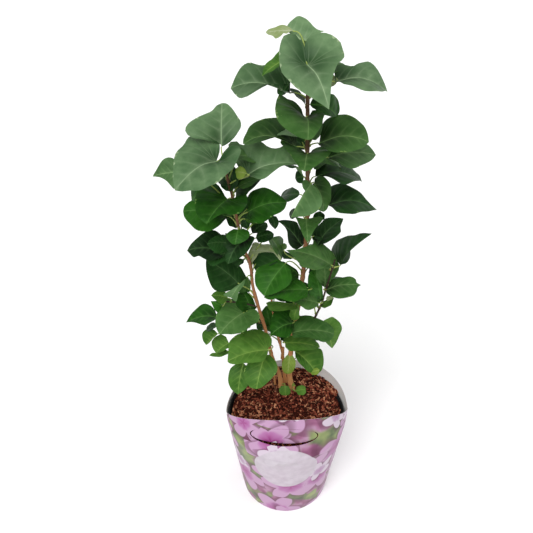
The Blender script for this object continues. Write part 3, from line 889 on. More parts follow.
class Blade:
    """A leaf blade on its own axes. The traced margin is carried from the picture on to the plane
    of each half, then nudged until the bowed and curled blade shows it where it was seen."""

    def __init__(self, leaf, base, point):
        self.leaf, self.base, self.point = leaf, base, point
        self.length = float(np.linalg.norm(point - base))
        self.along = (point - base) / self.length
        self.level = unit(np.cross(self.along, (0, 0, 1.0)))
        self.above = np.cross(self.level, self.along)
        self.turn(leaf.roll)
        self.phase = PHASE_STEP * (base.sum() % PHASE_REPEAT)
        self.half = {1: leaf.width / 2, -1: leaf.width / 2}
        self.margin = {side: MARGIN * (leaf.width / 2, self.length) for side in (1, -1)}
        if leaf.one:
            self.trace()

    def turn(self, roll):
        lean = math.radians(roll)
        self.across = self.level * math.cos(lean) + self.above * math.sin(lean)
        self.up = self.above * math.cos(lean) - self.level * math.sin(lean)

    def cast(self, side, places):
        """Where on the plane of one half the view shows places of the picture."""
        fold = math.radians(self.leaf.fold)
        out = side * self.across * math.cos(fold) + self.up * math.sin(fold)
        normal = np.cross(self.along, out)
        rays = rays_to(places)
        points = EYE + rays * (((self.base - EYE) @ normal) / (rays @ normal))[:, None]
        return np.column_stack([(points - self.base) @ out, (points - self.base) @ self.along])

    def hold(self, side, flat):
        """Keeps a margin within its limits, and its half of the blade as wide as it is."""
        inner = -OVERLAP * self.length if self.leaf.hollow else LEAST_HALF
        flat = flat.clip((inner, LONGEST_REACH[0] * self.length),
                         (WIDEST_REACH * self.length, LONGEST_REACH[1] * self.length))
        self.half[side] = max(LEAST_HALF, flat[:, 0].max())
        return flat

    def trace(self):
        foot = picture_place(self.base)
        on, out = picture_place([self.base + PROBE * way for way in (self.along, self.across)]) - foot
        lists = [np.array(side, float) for side in (self.leaf.one, self.leaf.other)]

        def turned_from(way, other):
            return way[0] * other[1] - way[1] * other[0]

        lean = [turned_from(on, places.mean(0) - foot) for places in lists]
        if (lean[0] - lean[1]) * turned_from(on, out) < 0:
            lists.reverse()
        wanted = {1: lists[0], -1: lists[1]}

        def oddness(roll):
            """How little like a leaf the traced margin is on a blade that leans over by roll."""
            self.turn(roll)
            halves = [self.cast(side, wanted[side]) / self.length for side in (1, -1)]
            widths = [half[:, 0].max() for half in halves]
            if min(widths) <= NARROWEST_HALF:
                return HOPELESS
            lobe = -min(half[:, 1].min() for half in halves)
            return (abs(math.log(widths[0] / widths[1])) + WIDE_COST * max(0, max(widths) - WIDEST_HALF)
                    + LOBE_COST * max(0, lobe - LONGEST_LOBE) + ROLL_COST * abs(roll - self.leaf.roll))

        best = min(ROLLS, key=oddness)
        self.turn(best if oddness(best) < HOPELESS else self.leaf.roll)
        middle = foot + 0.5 * (picture_place(self.base + self.along * self.length) - foot)
        for side in (1, -1):
            self.fit(side, wanted[side] + EDGE_BLUR * unit(wanted[side] - middle))

    def fit(self, side, aim):
        """Nudges the margin of one half until the view shows it at its aim in the picture."""
        flat = self.cast(side, aim)
        for _ in range(FITTING_ROUNDS):
            flat = self.hold(side, flat)
            shown, out, on = (picture_place(self.shape((flat[:, 0] + du) * side, flat[:, 1] + dv))
                              for du, dv in ((0, 0), (NUDGE, 0), (0, NUDGE)))
            slopes = np.stack([out - shown, on - shown], -1) / NUDGE
            damped = slopes.transpose(0, 2, 1) @ slopes + DAMPING * np.eye(2)
            wrong = slopes.transpose(0, 2, 1) @ (aim - shown)[..., None]
            flat = flat + np.linalg.solve(damped, wrong)[..., 0].clip(-LONGEST_STEP, LONGEST_STEP)
        self.margin[side] = self.hold(side, flat)

    def shape(self, across, along, raised=0.0):
        """Carries flat places on the blade to where they are on the plant."""
        leaf, length = self.leaf, self.length
        half = np.where(across >= 0, self.half[1], self.half[-1])
        out = np.abs(across) / half
        s = along / length
        fold = math.radians(leaf.fold)
        bowed = s.clip(BOWS_FROM, 1)
        rise = np.abs(across) * math.sin(fold) - CURL * out**2 * half
        rise = rise + 4 * leaf.arch * bowed * (1 - bowed) * length
        rise = rise + WAVE * (self.half[1] + self.half[-1]) * out**2 * np.sin(
            2 * math.pi * WAVES_ALONG * s + self.phase + np.sign(across) * OTHER_SIDE_LATE)
        rise = rise - FUNNEL_DEPTH * leaf.hollow * self.depth(across, along) + raised
        return (self.base + along[..., None] * self.along
                + (across * math.cos(fold))[..., None] * self.across + rise[..., None] * self.up)

    def depth(self, across, along):
        """How deep in the funnel at the foot a place is, from 0 to 1."""
        hollow = self.leaf.hollow
        if not hollow:
            return np.zeros_like(along)
        return np.exp(-(across**2 + (along / FUNNEL_LONG) ** 2) / (FUNNEL_SPREAD * hollow) ** 2)

    def darkness(self, across, along):
        """How dark the blade is in and round the funnel, and in a narrowing band along the notch
        between the lobes, from 0 to 1."""
        hollow = self.leaf.hollow
        if not hollow:
            return np.zeros_like(along)
        band = across * (1 + NOTCH_NARROWS * (-along).clip(0) / hollow)
        run = along / np.where(along < 0, NOTCH_RUN, FUNNEL_LONG)
        return np.exp(-(band**2 + run**2) / (DARK_SPREAD * hollow) ** 2)

    def margin_at(self, side, t):
        curve = smooth_path(np.vstack([self.margin[side], (0, self.length)]), MARGIN_STEP * self.length)
        at = np.asarray(t) * (len(curve) - 1)
        return np.stack([np.interp(at, np.arange(len(curve)), curve[:, k]) for k in (0, 1)], -1)

    def ring(self):
        """The blade's outline in the picture."""
        t = np.linspace(0, 1, RING_PLACES)
        rims = [self.margin_at(side, t) * (side, 1) for side in (1, -1)]
        flat = np.vstack([((0.0, 0.0),), rims[0], rims[1][::-1][1:]])
        return picture_place(self.shape(flat[:, 0], flat[:, 1]))


def blade_rows():
    """The rows that run from the midrib out to the margin, as (place on the margin, side of a vein
    edge, how far between two veins)."""
    rows = []
    before = 0.0
    for vein in (*VEINS_AT, LAST_ROW_AT):
        first = 0 if before == 0.0 else 1
        for k in range(first, ROWS_BETWEEN + 1):
            share = k / (ROWS_BETWEEN + 1)
            rows.append((before + (vein - before) * share, 0, share))
        if vein != LAST_ROW_AT:
            rows += [(vein, -1, 0.0), (vein, 1, 0.0)]
        before = vein
    rows.append((LAST_ROW_AT, 0, 0.0))
    return np.array(rows)


ROWS = blade_rows()


def flat_half(form, side):
    """One half of a blade laid flat, in millimetres: a grid of rows along the side veins."""
    t, edge, between = ROWS.T
    length, half = form.length, form.half[side]
    rim = form.margin_at(side, t)
    start_y = rim[:, 1] - VEIN_FORWARD * rim[:, 0].clip(0) * length / half
    start_y = np.maximum.accumulate(np.maximum(LOWEST_START * t * length, start_y))
    start_y = np.minimum(start_y, HIGHEST_START * length)
    size = min(1.0, 2 * half / FULL_SIZE)
    start = np.column_stack([size * np.interp(start_y / length, (0, 1), MIDRIB_WIDTH) / 2, start_y])
    bend = np.column_stack([BEND_OUT * rim[:, 0], start_y + BEND_ON * (rim[:, 1] - start_y)])
    f = (np.arange(COLUMNS + 1) / COLUMNS)[None, :, None]
    grid = (1 - f) ** 2 * start[:, None] + 2 * f * (1 - f) * bend[:, None] + f**2 * rim[:, None]
    run = unit(np.gradient(grid, axis=1))
    sideways = np.stack([-run[..., 1], run[..., 0]], -1)
    f = f[..., 0]
    half_vein = VEIN_WIDTH * size / 2 * (1 - VEIN_TAPER * f) * np.minimum(1, VEIN_FOOT + VEIN_GROWS * f)
    grid += sideways * (half_vein * edge[:, None])[..., None]
    bulge = np.sin(math.pi * between)[:, None] * (4 * f * (1 - f)) ** PUCKER_POWER
    rib = (1 - np.sin(math.pi * between))[:, None] * (1 - VEIN_PALES * f)
    rib = np.maximum(rib, (1 - FOOT_PALES * f).clip(0))
    rib[:, -1] = np.maximum(rib[:, -1], RIM_SHOWS)
    return grid, bulge, rib


def blade(form):
    """A leaf blade as a thin closed solid. Returns its points, its faces, their kinds (0 upper
    side, 1 midrib, 2 underside, 3 midrib below), the points' flat places, how near a vein each is
    and how dark the foot's funnel makes it."""
    grids, flats, lifts, ribs = {}, [], [], []
    for side in (1, -1):
        grids[side], bulge, rib = flat_half(form, side)
        flats.append((grids[side] * (side, 1)).reshape(-1, 2))
        lifts.append((bulge * PUCKER * 2 * form.half[side]).reshape(-1))
        ribs.append(rib.reshape(-1))
    rows, columns = grids[1].shape[:2]
    middle = (grids[1][:, 0, 1] + grids[-1][:, 0, 1]) / 2
    flat = np.vstack([np.column_stack([np.zeros(rows), middle]), *flats, ((0.0, form.length),)])
    lift_up = np.concatenate([np.zeros(rows), *lifts, (0.0,)])
    near_rib = np.concatenate([np.ones(rows), *ribs, (1.0,)])
    across, along = flat.T
    top = form.shape(across, along, lift_up)
    normal = unit(np.cross(form.shape(across + NORMAL_STEP, along, lift_up) - top,
                           form.shape(across, along + NORMAL_STEP, lift_up) - top))

    def grid_index(side, i, j):
        return rows + (0 if side > 0 else rows * columns) + i * columns + j

    tip = len(flat) - 1
    faces, kinds = [], []
    on_edge = {0, tip}
    for side in (1, -1):
        wind = 1 if side > 0 else -1
        for i in range(rows - 1):
            faces.append([i, grid_index(side, i, 0), grid_index(side, i + 1, 0), i + 1][::wind])
            kinds.append(1)
            for j in range(columns - 1):
                faces.append([grid_index(side, i, j), grid_index(side, i, j + 1),
                              grid_index(side, i + 1, j + 1), grid_index(side, i + 1, j)][::wind])
                kinds.append(0)
        end = [rows - 1] + [grid_index(side, rows - 1, j) for j in range(columns)]
        for first, second in zip(end, end[1:]):
            faces.append([first, second, tip][::wind])
            kinds.append(0)
        on_edge.update(grid_index(side, 0, j) for j in range(columns))
        on_edge.update(grid_index(side, i, columns - 1) for i in range(rows))
    inner = np.array([k for k in range(len(flat)) if k not in on_edge])
    below = np.arange(len(flat))
    below[inner] = len(flat) + np.arange(len(inner))
    under = [[int(below[k]) for k in face[::-1]] for face in faces]

    def doubled(values):
        return np.concatenate([values, values[inner]])

    points = np.vstack([top, top[inner] - normal[inner] * THICKNESS])
    return (points, faces + under, kinds + [k + 2 for k in kinds],
            doubled(flat), doubled(near_rib), doubled(form.darkness(across, along)))


CELL_RIM = 0.04


def map_cells(faces, flat, cell, cells_a_side):
    """Lays a blade's upper side in one cell of the piece's map and its underside in the next."""
    low, high = flat.min(0), flat.max(0)
    within = CELL_RIM + (1 - 2 * CELL_RIM) * (flat - low) / (high - low)
    corners = []
    for k, face in enumerate(faces):
        number = cell + (0 if k < len(faces) // 2 else 1)
        origin = np.array((number % cells_a_side, number // cells_a_side))
        corners.append([((origin + within[p]) / cells_a_side).tolist() for p in face])
    return corners


STALK_RISE, STALK_SLOPE = 3, 0.75  # a stalk climbs so far, and so much more for each millimetre out
STALK_RADII = (1.0, 0.62)
STALK_PLACES, STALK_SIDES = 9, 6
STALK_LEAVES, STALK_LIFT, STALK_ARRIVES = 0.4, 0.5, 0.35
HEIGHT_COUNTS = 1.5  # a stem at the wrong height is so much worse than one too far away
BUD_PROFILE = ((0.0, 0.5), (0.9, 1.15), (2.0, 1.2), (3.1, 0.7), (3.8, 0.15))  # height and radius
BUD_SIDES = 7
BUD_OUT, BUD_FLATTENS, BUD_LIFT = 1.6, (1, 1, 0.2), 1.1
BUD_SIZES = (0.7, 1.0)
TONES = (-0.06, 0.2)
LEAF_SMOOTH, POT_SMOOTH, SOIL_SMOOTH, CARD_SMOOTH = 80, 35, 60, 25  # edges blunter than this are smooth


def nearest_joint(base):
    """The place on a living stem or twig where a leaf with this foot grows, as (name, number)."""
    gaps = {}
    for name in LIVING:
        away = base - PATHS[name]
        out = np.hypot(away[:, 0], away[:, 1])
        gaps[name] = np.hypot(out, HEIGHT_COUNTS * (away[:, 2] - STALK_RISE - STALK_SLOPE * out))
    name = min(gaps, key=lambda key: gaps[key].min())
    return name, int(gaps[name].argmin())


def stalk(root, base, heading):
    """A leaf stalk leaves the stem slanting up and arrives along the blade."""
    reach = np.linalg.norm(base - root)
    leave = root + STALK_LEAVES * reach * unit(unit(base - root) + np.array((0, 0, STALK_LIFT)))
    arrive = base - STALK_ARRIVES * reach * heading
    t = np.linspace(0, 1, STALK_PLACES)[:, None]
    path = (1 - t) ** 3 * root + 3 * t * (1 - t) ** 2 * leave + 3 * t**2 * (1 - t) * arrive + t**3 * base
    return tube(path, np.linspace(*STALK_RADII, len(path)), STALK_SIDES)


def front_blades():
    """The blades that the view shows."""
    placed = []
    for stem, leaves in LEAVES.items():
        path = PATHS[stem]
        downs = picture_place(path)[:, 1]
        order = np.argsort(downs)
        for leaf in leaves:
            depth = float(np.interp(leaf.base[1], downs[order], path[order, 1])) + leaf.near
            placed.append(Blade(leaf, seen_at(leaf.base, depth), seen_at(leaf.point, depth + leaf.reach)))
    return placed


def fill_outline(ring, picture):
    """The part of the picture round a closed ring, and which of its places lie within the ring."""
    low = np.floor(ring.min(0)).astype(int).clip(0, PICTURE_SIDE - 1)
    high = np.ceil(ring.max(0)).astype(int).clip(0, PICTURE_SIDE - 1)
    across, down = np.meshgrid(np.arange(low[0], high[0] + 1) + 0.5, np.arange(low[1], high[1] + 1) + 0.5)
    inside = np.zeros(across.shape, bool)
    for (x0, y0), (x1, y1) in zip(ring, np.roll(ring, -1, 0)):
        if y0 != y1:
            crosses = (y0 > down) != (y1 > down)
            inside ^= crosses & (across < (x1 - x0) * (down - y0) / (y1 - y0) + x0)
    return picture[low[1] : high[1] + 1, low[0] : high[0] + 1], inside


# Behind the leaves that the view shows, more grow from the same stems by a seeded rule: a joint
# every so often, and at each one leaf, which is drawn again a few times until it fits. It stays only
# where the leaves in front already hide it, so the gaps between the sprays stay open.
FIRST_JOINT, JOINT_SPACING = 22, 17
HIDDEN_SHARE = 0.96
APART = 17
TRIES = 9
LOWEST_BACK_LEAF = 182
CROWN_REAR = 93  # the furthest that the crown reaches behind the pot's middle
# ranges of a seeded leaf: degrees that it turns about the stem, its length, how far its foot lies
# out and up, degrees that it droops, folds and leans over, its arch and its width, of its length
BACK_TURNS, BACK_LENGTHS, BACK_REACHES, BACK_RISES = (15, 165), (30, 52), (9, 20), (2, 10)
BACK_DROOPS, BACK_FOLDS, BACK_ROLLS = (-45, 8), (8, 18), (-12, 12)
BACK_ARCHES, BACK_WIDTHS = (0.08, 0.18), (0.72, 0.92)
LOW_TINTS, HIGH_TINTS, HIGH_FROM = ("green", "dark", "deep"), ("satin", "green", "deep"), 0.75


def back_blade(draw, root, share):
    """One seeded leaf, at a joint that stands at this share of its stem."""
    turn = math.radians(draw.uniform(*BACK_TURNS))
    out = np.array((math.cos(turn), math.sin(turn), 0))
    length = draw.uniform(*BACK_LENGTHS)
    base = root + out * draw.uniform(*BACK_REACHES) + np.array((0, 0, draw.uniform(*BACK_RISES)))
    droop = math.radians(draw.uniform(*BACK_DROOPS))
    point = base + length * (out * math.cos(droop) + np.array((0, 0, math.sin(droop))))
    tint = str(draw.choice(LOW_TINTS if share < HIGH_FROM else HIGH_TINTS))
    leaf = Leaf((0, 0), (0, 0), 0, 0, draw.uniform(*BACK_FOLDS), draw.uniform(*BACK_ARCHES), tint,
                roll=draw.uniform(*BACK_ROLLS), width=length * draw.uniform(*BACK_WIDTHS))
    return Blade(leaf, base, point)


def back_blades(placed):
    draw = np.random.default_rng(SEED)
    covered = np.zeros((PICTURE_SIDE, PICTURE_SIDE), bool)
    for form in placed:
        window, inside = fill_outline(form.ring(), covered)
        window |= inside
    grown, middles = [], [(form.base + form.point) / 2 for form in placed]
    for name in (RIGHT, LEFT, MIDDLE, SIDE, "stem_thin"):
        path = PATHS[name]
        run = lengths_along(path)
        for at in np.arange(FIRST_JOINT, run[-1], JOINT_SPACING):
            root = path[int(np.searchsorted(run, at))]
            for _ in range(TRIES):
                form = back_blade(draw, root, at / run[-1])
                window, inside = fill_outline(form.ring(), covered)
                middle = (form.base + form.point) / 2
                clear = min(np.linalg.norm(middle - other) for other in middles) > APART
                in_bounds = (min(form.base[2], form.point[2]) > LOWEST_BACK_LEAF
                             and max(form.base[1], form.point[1]) < CROWN_REAR)
                if clear and in_bounds and (window & inside).sum() >= HIDDEN_SHARE * inside.sum() > 0:
                    grown.append(form)
                    middles.append(middle)
                    break
    return grown


def grow_stalks(placed, draw):
    """The stalks and buds that join leaves to their stems, and how far along each stem they stand."""
    joints = {name: [] for name in PATHS}
    stalks, buds = Joined(), Joined()
    for form in placed:
        if not form.leaf.stalked:
            continue
        name, number = nearest_joint(form.base)
        root = PATHS[name][number]
        joints[name].append(lengths_along(PATHS[name])[number])
        foot = form.shape(np.zeros(1), np.zeros(1))[0]
        stalks.take(*stalk(root, foot, form.along), tone=draw.uniform(0, 1))
        outward = unit(unit(foot - root) * BUD_FLATTENS + np.array((0, 0, BUD_LIFT)))
        bud_foot = root + unit((foot - root) * (1, 1, 0)) * BUD_OUT
        path = [bud_foot + outward * up for up, _ in BUD_PROFILE]
        buds.take(*tube(path, [r * draw.uniform(*BUD_SIZES) for _, r in BUD_PROFILE], BUD_SIDES))
    return stalks, buds, joints


def make_leaves():
    """Makes every leaf with its stalk and bud, and returns how far along each stem they stand."""
    placed = front_blades()
    placed += back_blades(placed)
    draw = np.random.default_rng(SEED + 1)
    stalks, buds, joints = grow_stalks(placed, draw)
    for tint, look in LEAF_TINTS.items():
        forms = [form for form in placed if form.leaf.tint == tint]
        gathered = Joined()
        cells_a_side = math.ceil(math.sqrt(2 * max(1, len(forms))))
        for number, form in enumerate(forms):
            points, faces, kinds, flat, near_rib, dark = blade(form)
            cells = map_cells(faces, flat, 2 * number, cells_a_side)
            gathered.take(points, faces, kinds, cells, tone=draw.uniform(*TONES), rib=near_rib, hollow=dark)
        piece = gathered.make(f"leaves_{tint}", leaf_blade(tint), leaf_vein(tint), leaf_underside(tint),
                              leaf_vein(tint))
        smooth_below(piece, LEAF_SMOOTH)
        solids = [part["node"] for part in frame["record"]["subparts"] if part["material_slot"] == look.slot]
        settle(piece, look.slot, *(solids if tint in look.slot else ()))
    # Leaf stalks: smooth and yellow-green, lighter in places. Bud scales: olive-brown and dull.
    settle(stalks.make("leaf_stalks", mottled("leaf_stalk", "6F8A3C", "A9B765", 8, 0.5)), "leaf_bright")
    settle(buds.make("leaf_buds", mottled("bud_scales", "5E5A30", "8A8A4A", 3, 0.55)), "young_bark")
    return joints


# ---------- pot and soil ----------

POT_FOOT_R = 60.5
POT_NECK_R = 81.6
POT_LIP_R = 83.6
POT_HEIGHT = 160
POT_LIP_HEIGHT = 7
POT_WALL = 1.4
POT_FLOOR = 2.6
POT_BEVEL = 1.5
EASE_SMALL, EASE_MIDDLE, EASE_LARGE = 0.3, 0.4, 0.5  # small steps that ease the moulded edges
DRAIN_HOLES = 8
DRAIN_HOLE_R = 5.5
DRAIN_CIRCLE_R = 46
DRAIN_SIDES = 32
TURNED_SIDES = 96
DISC = 0.2
POT_GRAIN_MM, FLOW_MM = 0.8, 25


def turned(name, profile):
    """A round piece raised from a disc: its top face is drawn up or down and in or out to each
    radius and height of the profile in turn."""
    (radius, level), *rest = profile
    bpy.ops.mesh.primitive_cylinder_add(vertices=TURNED_SIDES, radius=radius * MM, depth=DISC * MM,
                                        location=(0, 0, (level + DISC / 2) * MM))
    piece = bpy.context.object
    piece.name = piece.data.name = name
    bpy.ops.object.transform_apply(location=True, rotation=True, scale=True)
    bpy.ops.object.mode_set(mode="EDIT")
    bpy.ops.mesh.select_all(action="DESELECT")
    bpy.ops.object.mode_set(mode="OBJECT")
    top = max(piece.data.polygons, key=lambda face: face.center.z)
    top.select = True
    bpy.ops.object.mode_set(mode="EDIT")
    bpy.ops.mesh.select_mode(type="FACE")
    now = level + DISC
    for next_radius, next_level in rest:
        climb = (0, 0, (next_level - now) * MM)
        bpy.ops.mesh.extrude_region_move(TRANSFORM_OT_translate={"value": climb})
        ratio = next_radius / radius
        bpy.ops.transform.resize(value=(ratio, ratio, 1), center_override=(0, 0, next_level * MM))
        radius, now = next_radius, next_level
    bpy.ops.mesh.select_all(action="SELECT")
    bpy.ops.mesh.normals_make_consistent(inside=False)
    bpy.ops.object.mode_set(mode="OBJECT")
    return piece


def use_modifier(piece, kind, **settings):
    bpy.context.view_layer.objects.active = piece
    modifier = piece.modifiers.new(kind.title(), kind)
    for name, value in settings.items():
        setattr(modifier, name, value)
    bpy.ops.object.modifier_apply(modifier=modifier.name)


def cut_by(piece, plug, operation):
    use_modifier(piece, "BOOLEAN", operation=operation, object=plug)
    bpy.data.objects.remove(plug)


def smooth_below(piece, degrees):
    bpy.ops.object.select_all(action="DESELECT")
    piece.select_set(True)
    bpy.context.view_layer.objects.active = piece
    bpy.ops.object.shade_smooth_by_angle(angle=math.radians(degrees))
    piece.select_set(False)


def drain_plugs():
    plugs = []
    for k in range(DRAIN_HOLES):
        turn = 2 * math.pi * (k + 0.5) / DRAIN_HOLES
        bpy.ops.mesh.primitive_cylinder_add(
            vertices=DRAIN_SIDES, radius=DRAIN_HOLE_R * MM, depth=4 * POT_FLOOR * MM,
            location=(DRAIN_CIRCLE_R * MM * math.cos(turn), DRAIN_CIRCLE_R * MM * math.sin(turn), 0))
        plugs.append(bpy.context.object)
    for plug in plugs:
        plug.select_set(True)
    bpy.ops.object.join()
    return bpy.context.object


def moulded_polypropylene():
    """Polypropylene, injection moulded: black, a satin grain and faint flow marks down the wall."""
    material, shader = new_material("polypropylene_moulded", Roughness=0.45, IOR=1.49)
    place = add(material, "ShaderNodeTexCoord").outputs["Object"]
    grain = add(material, "ShaderNodeTexNoise",
                {"Vector": place, "Scale": 1 / (POT_GRAIN_MM * MM), "Detail": 2})
    cloud = add(material, "ShaderNodeTexNoise", {"Vector": place, "Scale": 1 / (FLOW_MM * MM)})
    colour = add(material, "ShaderNodeValToRGB", {"Fac": cloud.outputs["Fac"]},
                 stops=((0.3, "121213"), (0.7, "222224")))
    bump = add(material, "ShaderNodeBump",
               {"Height": grain.outputs["Fac"], "Strength": 0.15, "Distance": 0.1 * MM})
    link(material, colour.outputs["Color"], shader, "Base Color")
    link(material, bump.outputs["Normal"], shader, "Normal")
    return material


def make_pot():
    lip_foot = POT_HEIGHT - POT_LIP_HEIGHT
    lip_inner_r = POT_LIP_R - POT_WALL
    pot = turned("pot_shell", (
        (POT_FOOT_R - POT_BEVEL, 0), (POT_FOOT_R - EASE_MIDDLE, EASE_LARGE), (POT_FOOT_R, POT_BEVEL),
        (POT_NECK_R, lip_foot), (POT_LIP_R - EASE_SMALL, lip_foot + POT_WALL),
        (POT_LIP_R, lip_foot + POT_WALL + EASE_LARGE), (POT_LIP_R, POT_HEIGHT - EASE_LARGE),
        (POT_LIP_R - EASE_MIDDLE, POT_HEIGHT), (lip_inner_r + EASE_SMALL, POT_HEIGHT),
        (lip_inner_r, POT_HEIGHT - EASE_MIDDLE), (lip_inner_r, lip_foot + 2 * POT_WALL),
        (POT_NECK_R - POT_WALL, lip_foot), (POT_FOOT_R - POT_WALL, POT_FLOOR),
    ))
    cut_by(pot, drain_plugs(), "DIFFERENCE")
    smooth_below(pot, POT_SMOOTH)
    pot.data.materials.clear()
    pot.data.materials.append(moulded_polypropylene())
    settle(pot, "pot_plastic", "pot")


SOIL_GAP = 0.35
SOIL_RING = 1.6
SOIL_LUMPS_MM = 7
SOIL_LUMP_HEIGHT = 1.5
SOIL_LUMP_NOISE = (0.7, 2.0, 4)  # roughness, lacunarity and octaves
EDGE_LUMPS = 0.35
SOIL_R = POT_NECK_R - POT_WALL - 3 * SOIL_GAP


def soil_height(x, y):
    """The heap's height, with its lumps, which die away at the pot's wall."""
    away = max(0.0, math.hypot(x - PLANT_FOOT[0], y - PLANT_FOOT[1]) - MOUND_TOP_R)
    fade = min(1.0, max(0.0, (SOIL_R - math.hypot(x, y)) / MOUND_EDGE_FADE))
    heap = MOUND_HEIGHT * math.exp(-((away / MOUND_SPREAD) ** 2)) * math.sqrt(fade)
    lumps = noise.fractal(Vector((x, y, 0)) / SOIL_LUMPS_MM, *SOIL_LUMP_NOISE)
    return SOIL_EDGE_Z + heap + SOIL_LUMP_HEIGHT * lumps * min(1.0, EDGE_LUMPS + fade)


def make_soil():
    foot_r = POT_FOOT_R - POT_WALL - 2 * SOIL_GAP
    profile = [(foot_r, POT_FLOOR + SOIL_GAP), (SOIL_R, SOIL_EDGE_Z)]
    profile += [(SOIL_R - k * SOIL_RING, SOIL_EDGE_Z) for k in range(1, int(SOIL_R / SOIL_RING))]
    soil = turned("potting_soil", profile)
    for vertex in soil.data.vertices:
        if vertex.co.z > (SOIL_EDGE_Z - 1) * MM:
            vertex.co.z = soil_height(vertex.co.x / MM, vertex.co.y / MM) * MM
    smooth_below(soil, SOIL_SMOOTH)
    # Peat and composted bark: dark, matt and crumbly.
    soil.data.materials.clear()
    soil.data.materials.append(mottled("peat_crumb", "0D0302", "431A11", 3.2, 0.9, 1.0, 0.1))
    settle(soil, "potting_soil", "soil")


CHIPS = 2600
FIBRES = 700
CHIP_KINDS = (0.33, 0.40, 0.20, 0.07)  # the shares of dark, red and tan chips and of peat
LITTER_GAP = 1.7
LITTER_LIFT = (0.1, 0.9)
PITCH, ROLL = 0.35, 0.5  # how unevenly a chip lies, in radians
NEAR_WALL, WALL_TURN = 5, 0.25  # within this of the wall chips lie along it, about this closely
CHIP_LONG, CHIP_LEAST, CHIP_WIDE, CHIP_THICK = (3.0, 1.1), 1.2, (0.9, 2.6), (0.4, 1.3)
CHIP_SKEW = 0.3
CHIP_BOX = np.array([(x, y, z) for z in (-1, 1) for y in (-1, 1) for x in (-1, 1)]) / 2
CHIP_FACES = [[0, 2, 3, 1], [4, 5, 7, 6], [0, 1, 5, 4], [2, 6, 7, 3], [0, 4, 6, 2], [1, 3, 7, 5]]
STRAND_LONG, STRAND_BOW, STRAND_LIFT = (5, 13), 1.2, 0.4
STRAND_RADII = (0.12, 0.28, 0.32, 0.26, 0.1)
STRAND_SIDES = 4
RIM_CHIPS = 420
RIM_CHIPS_FROM, RIM_CHIPS_TO = math.radians(22), math.radians(152)
RIM_CHIPS_INNER_R, RIM_CHIPS_OUTER_R = 77.5, 84.6
RIM_CHIP_TURN, RIM_CHIP_LIFT = 0.2, 0.6
RIM_CHIP_LONG, RIM_CHIP_WIDE, RIM_CHIP_THICK = (2, 5), (1, 2.2), (0.5, 1.1)


def chip_corners(draw, size, axes):
    """The corners of a chip about its middle: a box knocked out of true, along its own axes."""
    return CHIP_BOX * (1 + draw.uniform(-CHIP_SKEW, CHIP_SKEW, CHIP_BOX.shape)) * size @ np.array(axes)


def chip_kind(draw):
    return int(draw.choice(len(CHIP_KINDS), p=CHIP_KINDS))


def scatter_litter(gathered, draw):
    """Bark chips and fibres lie on the soil at every angle."""
    edge = POT_NECK_R - POT_WALL - LITTER_GAP
    for _ in range(CHIPS + FIBRES):
        fibre = draw.random() < FIBRES / (CHIPS + FIBRES)
        away, turn = edge * math.sqrt(draw.random()), draw.uniform(0, 2 * math.pi)
        x, y = away * math.cos(turn), away * math.sin(turn)
        yaw, pitch, roll = draw.uniform(0, 2 * math.pi), draw.normal(0, PITCH), draw.normal(0, ROLL)
        if away > edge - NEAR_WALL:
            yaw = turn + math.pi / 2 + draw.uniform(-WALL_TURN, WALL_TURN)
        a = np.array((math.cos(yaw) * math.cos(pitch), math.sin(yaw) * math.cos(pitch), math.sin(pitch)))
        w = unit(np.cross(a, (0, 0, 1.0)))
        n = np.cross(w, a)
        w, n = w * math.cos(roll) + n * math.sin(roll), n * math.cos(roll) - w * math.sin(roll)
        lie = np.array((x, y, soil_height(x, y) + draw.uniform(*LITTER_LIFT)))
        kind = chip_kind(draw)
        if fibre:
            long = draw.uniform(*STRAND_LONG)
            t = np.linspace(-0.5, 0.5, len(STRAND_RADII))[:, None]
            bow = draw.uniform(-STRAND_BOW, STRAND_BOW)
            path = lie + a * long * t + w * bow * (4 * t**2) + n * STRAND_LIFT
            gathered.take(*tube(path, STRAND_RADII, STRAND_SIDES), kind)
        else:
            size = np.array((draw.gamma(*CHIP_LONG) + CHIP_LEAST, draw.uniform(*CHIP_WIDE),
                             draw.uniform(*CHIP_THICK)))
            gathered.take(lie + chip_corners(draw, size, (a, w, n)), CHIP_FACES, kind)


def heap_rim_chips(gathered, draw):
    """At the back chips heap up against the pot's wall and over its lip."""
    for _ in range(RIM_CHIPS):
        turn = draw.uniform(RIM_CHIPS_FROM, RIM_CHIPS_TO)
        away = draw.uniform(RIM_CHIPS_INNER_R, RIM_CHIPS_OUTER_R)
        climb = min(1.0, (away - RIM_CHIPS_INNER_R) / (POT_LIP_R - POT_WALL - RIM_CHIPS_INNER_R))
        lie = np.array((away * math.cos(turn), away * math.sin(turn),
                        SOIL_EDGE_Z + (POT_HEIGHT + RIM_CHIP_LIFT - SOIL_EDGE_Z) * climb))
        yaw = turn + math.pi / 2 + draw.uniform(-RIM_CHIP_TURN, RIM_CHIP_TURN)
        axes = ((math.cos(yaw), math.sin(yaw), 0), (-math.sin(yaw), math.cos(yaw), 0), (0, 0, 1.0))
        size = np.array([draw.uniform(*span) for span in (RIM_CHIP_LONG, RIM_CHIP_WIDE, RIM_CHIP_THICK)])
        gathered.take(lie + chip_corners(draw, size, axes), CHIP_FACES, chip_kind(draw))


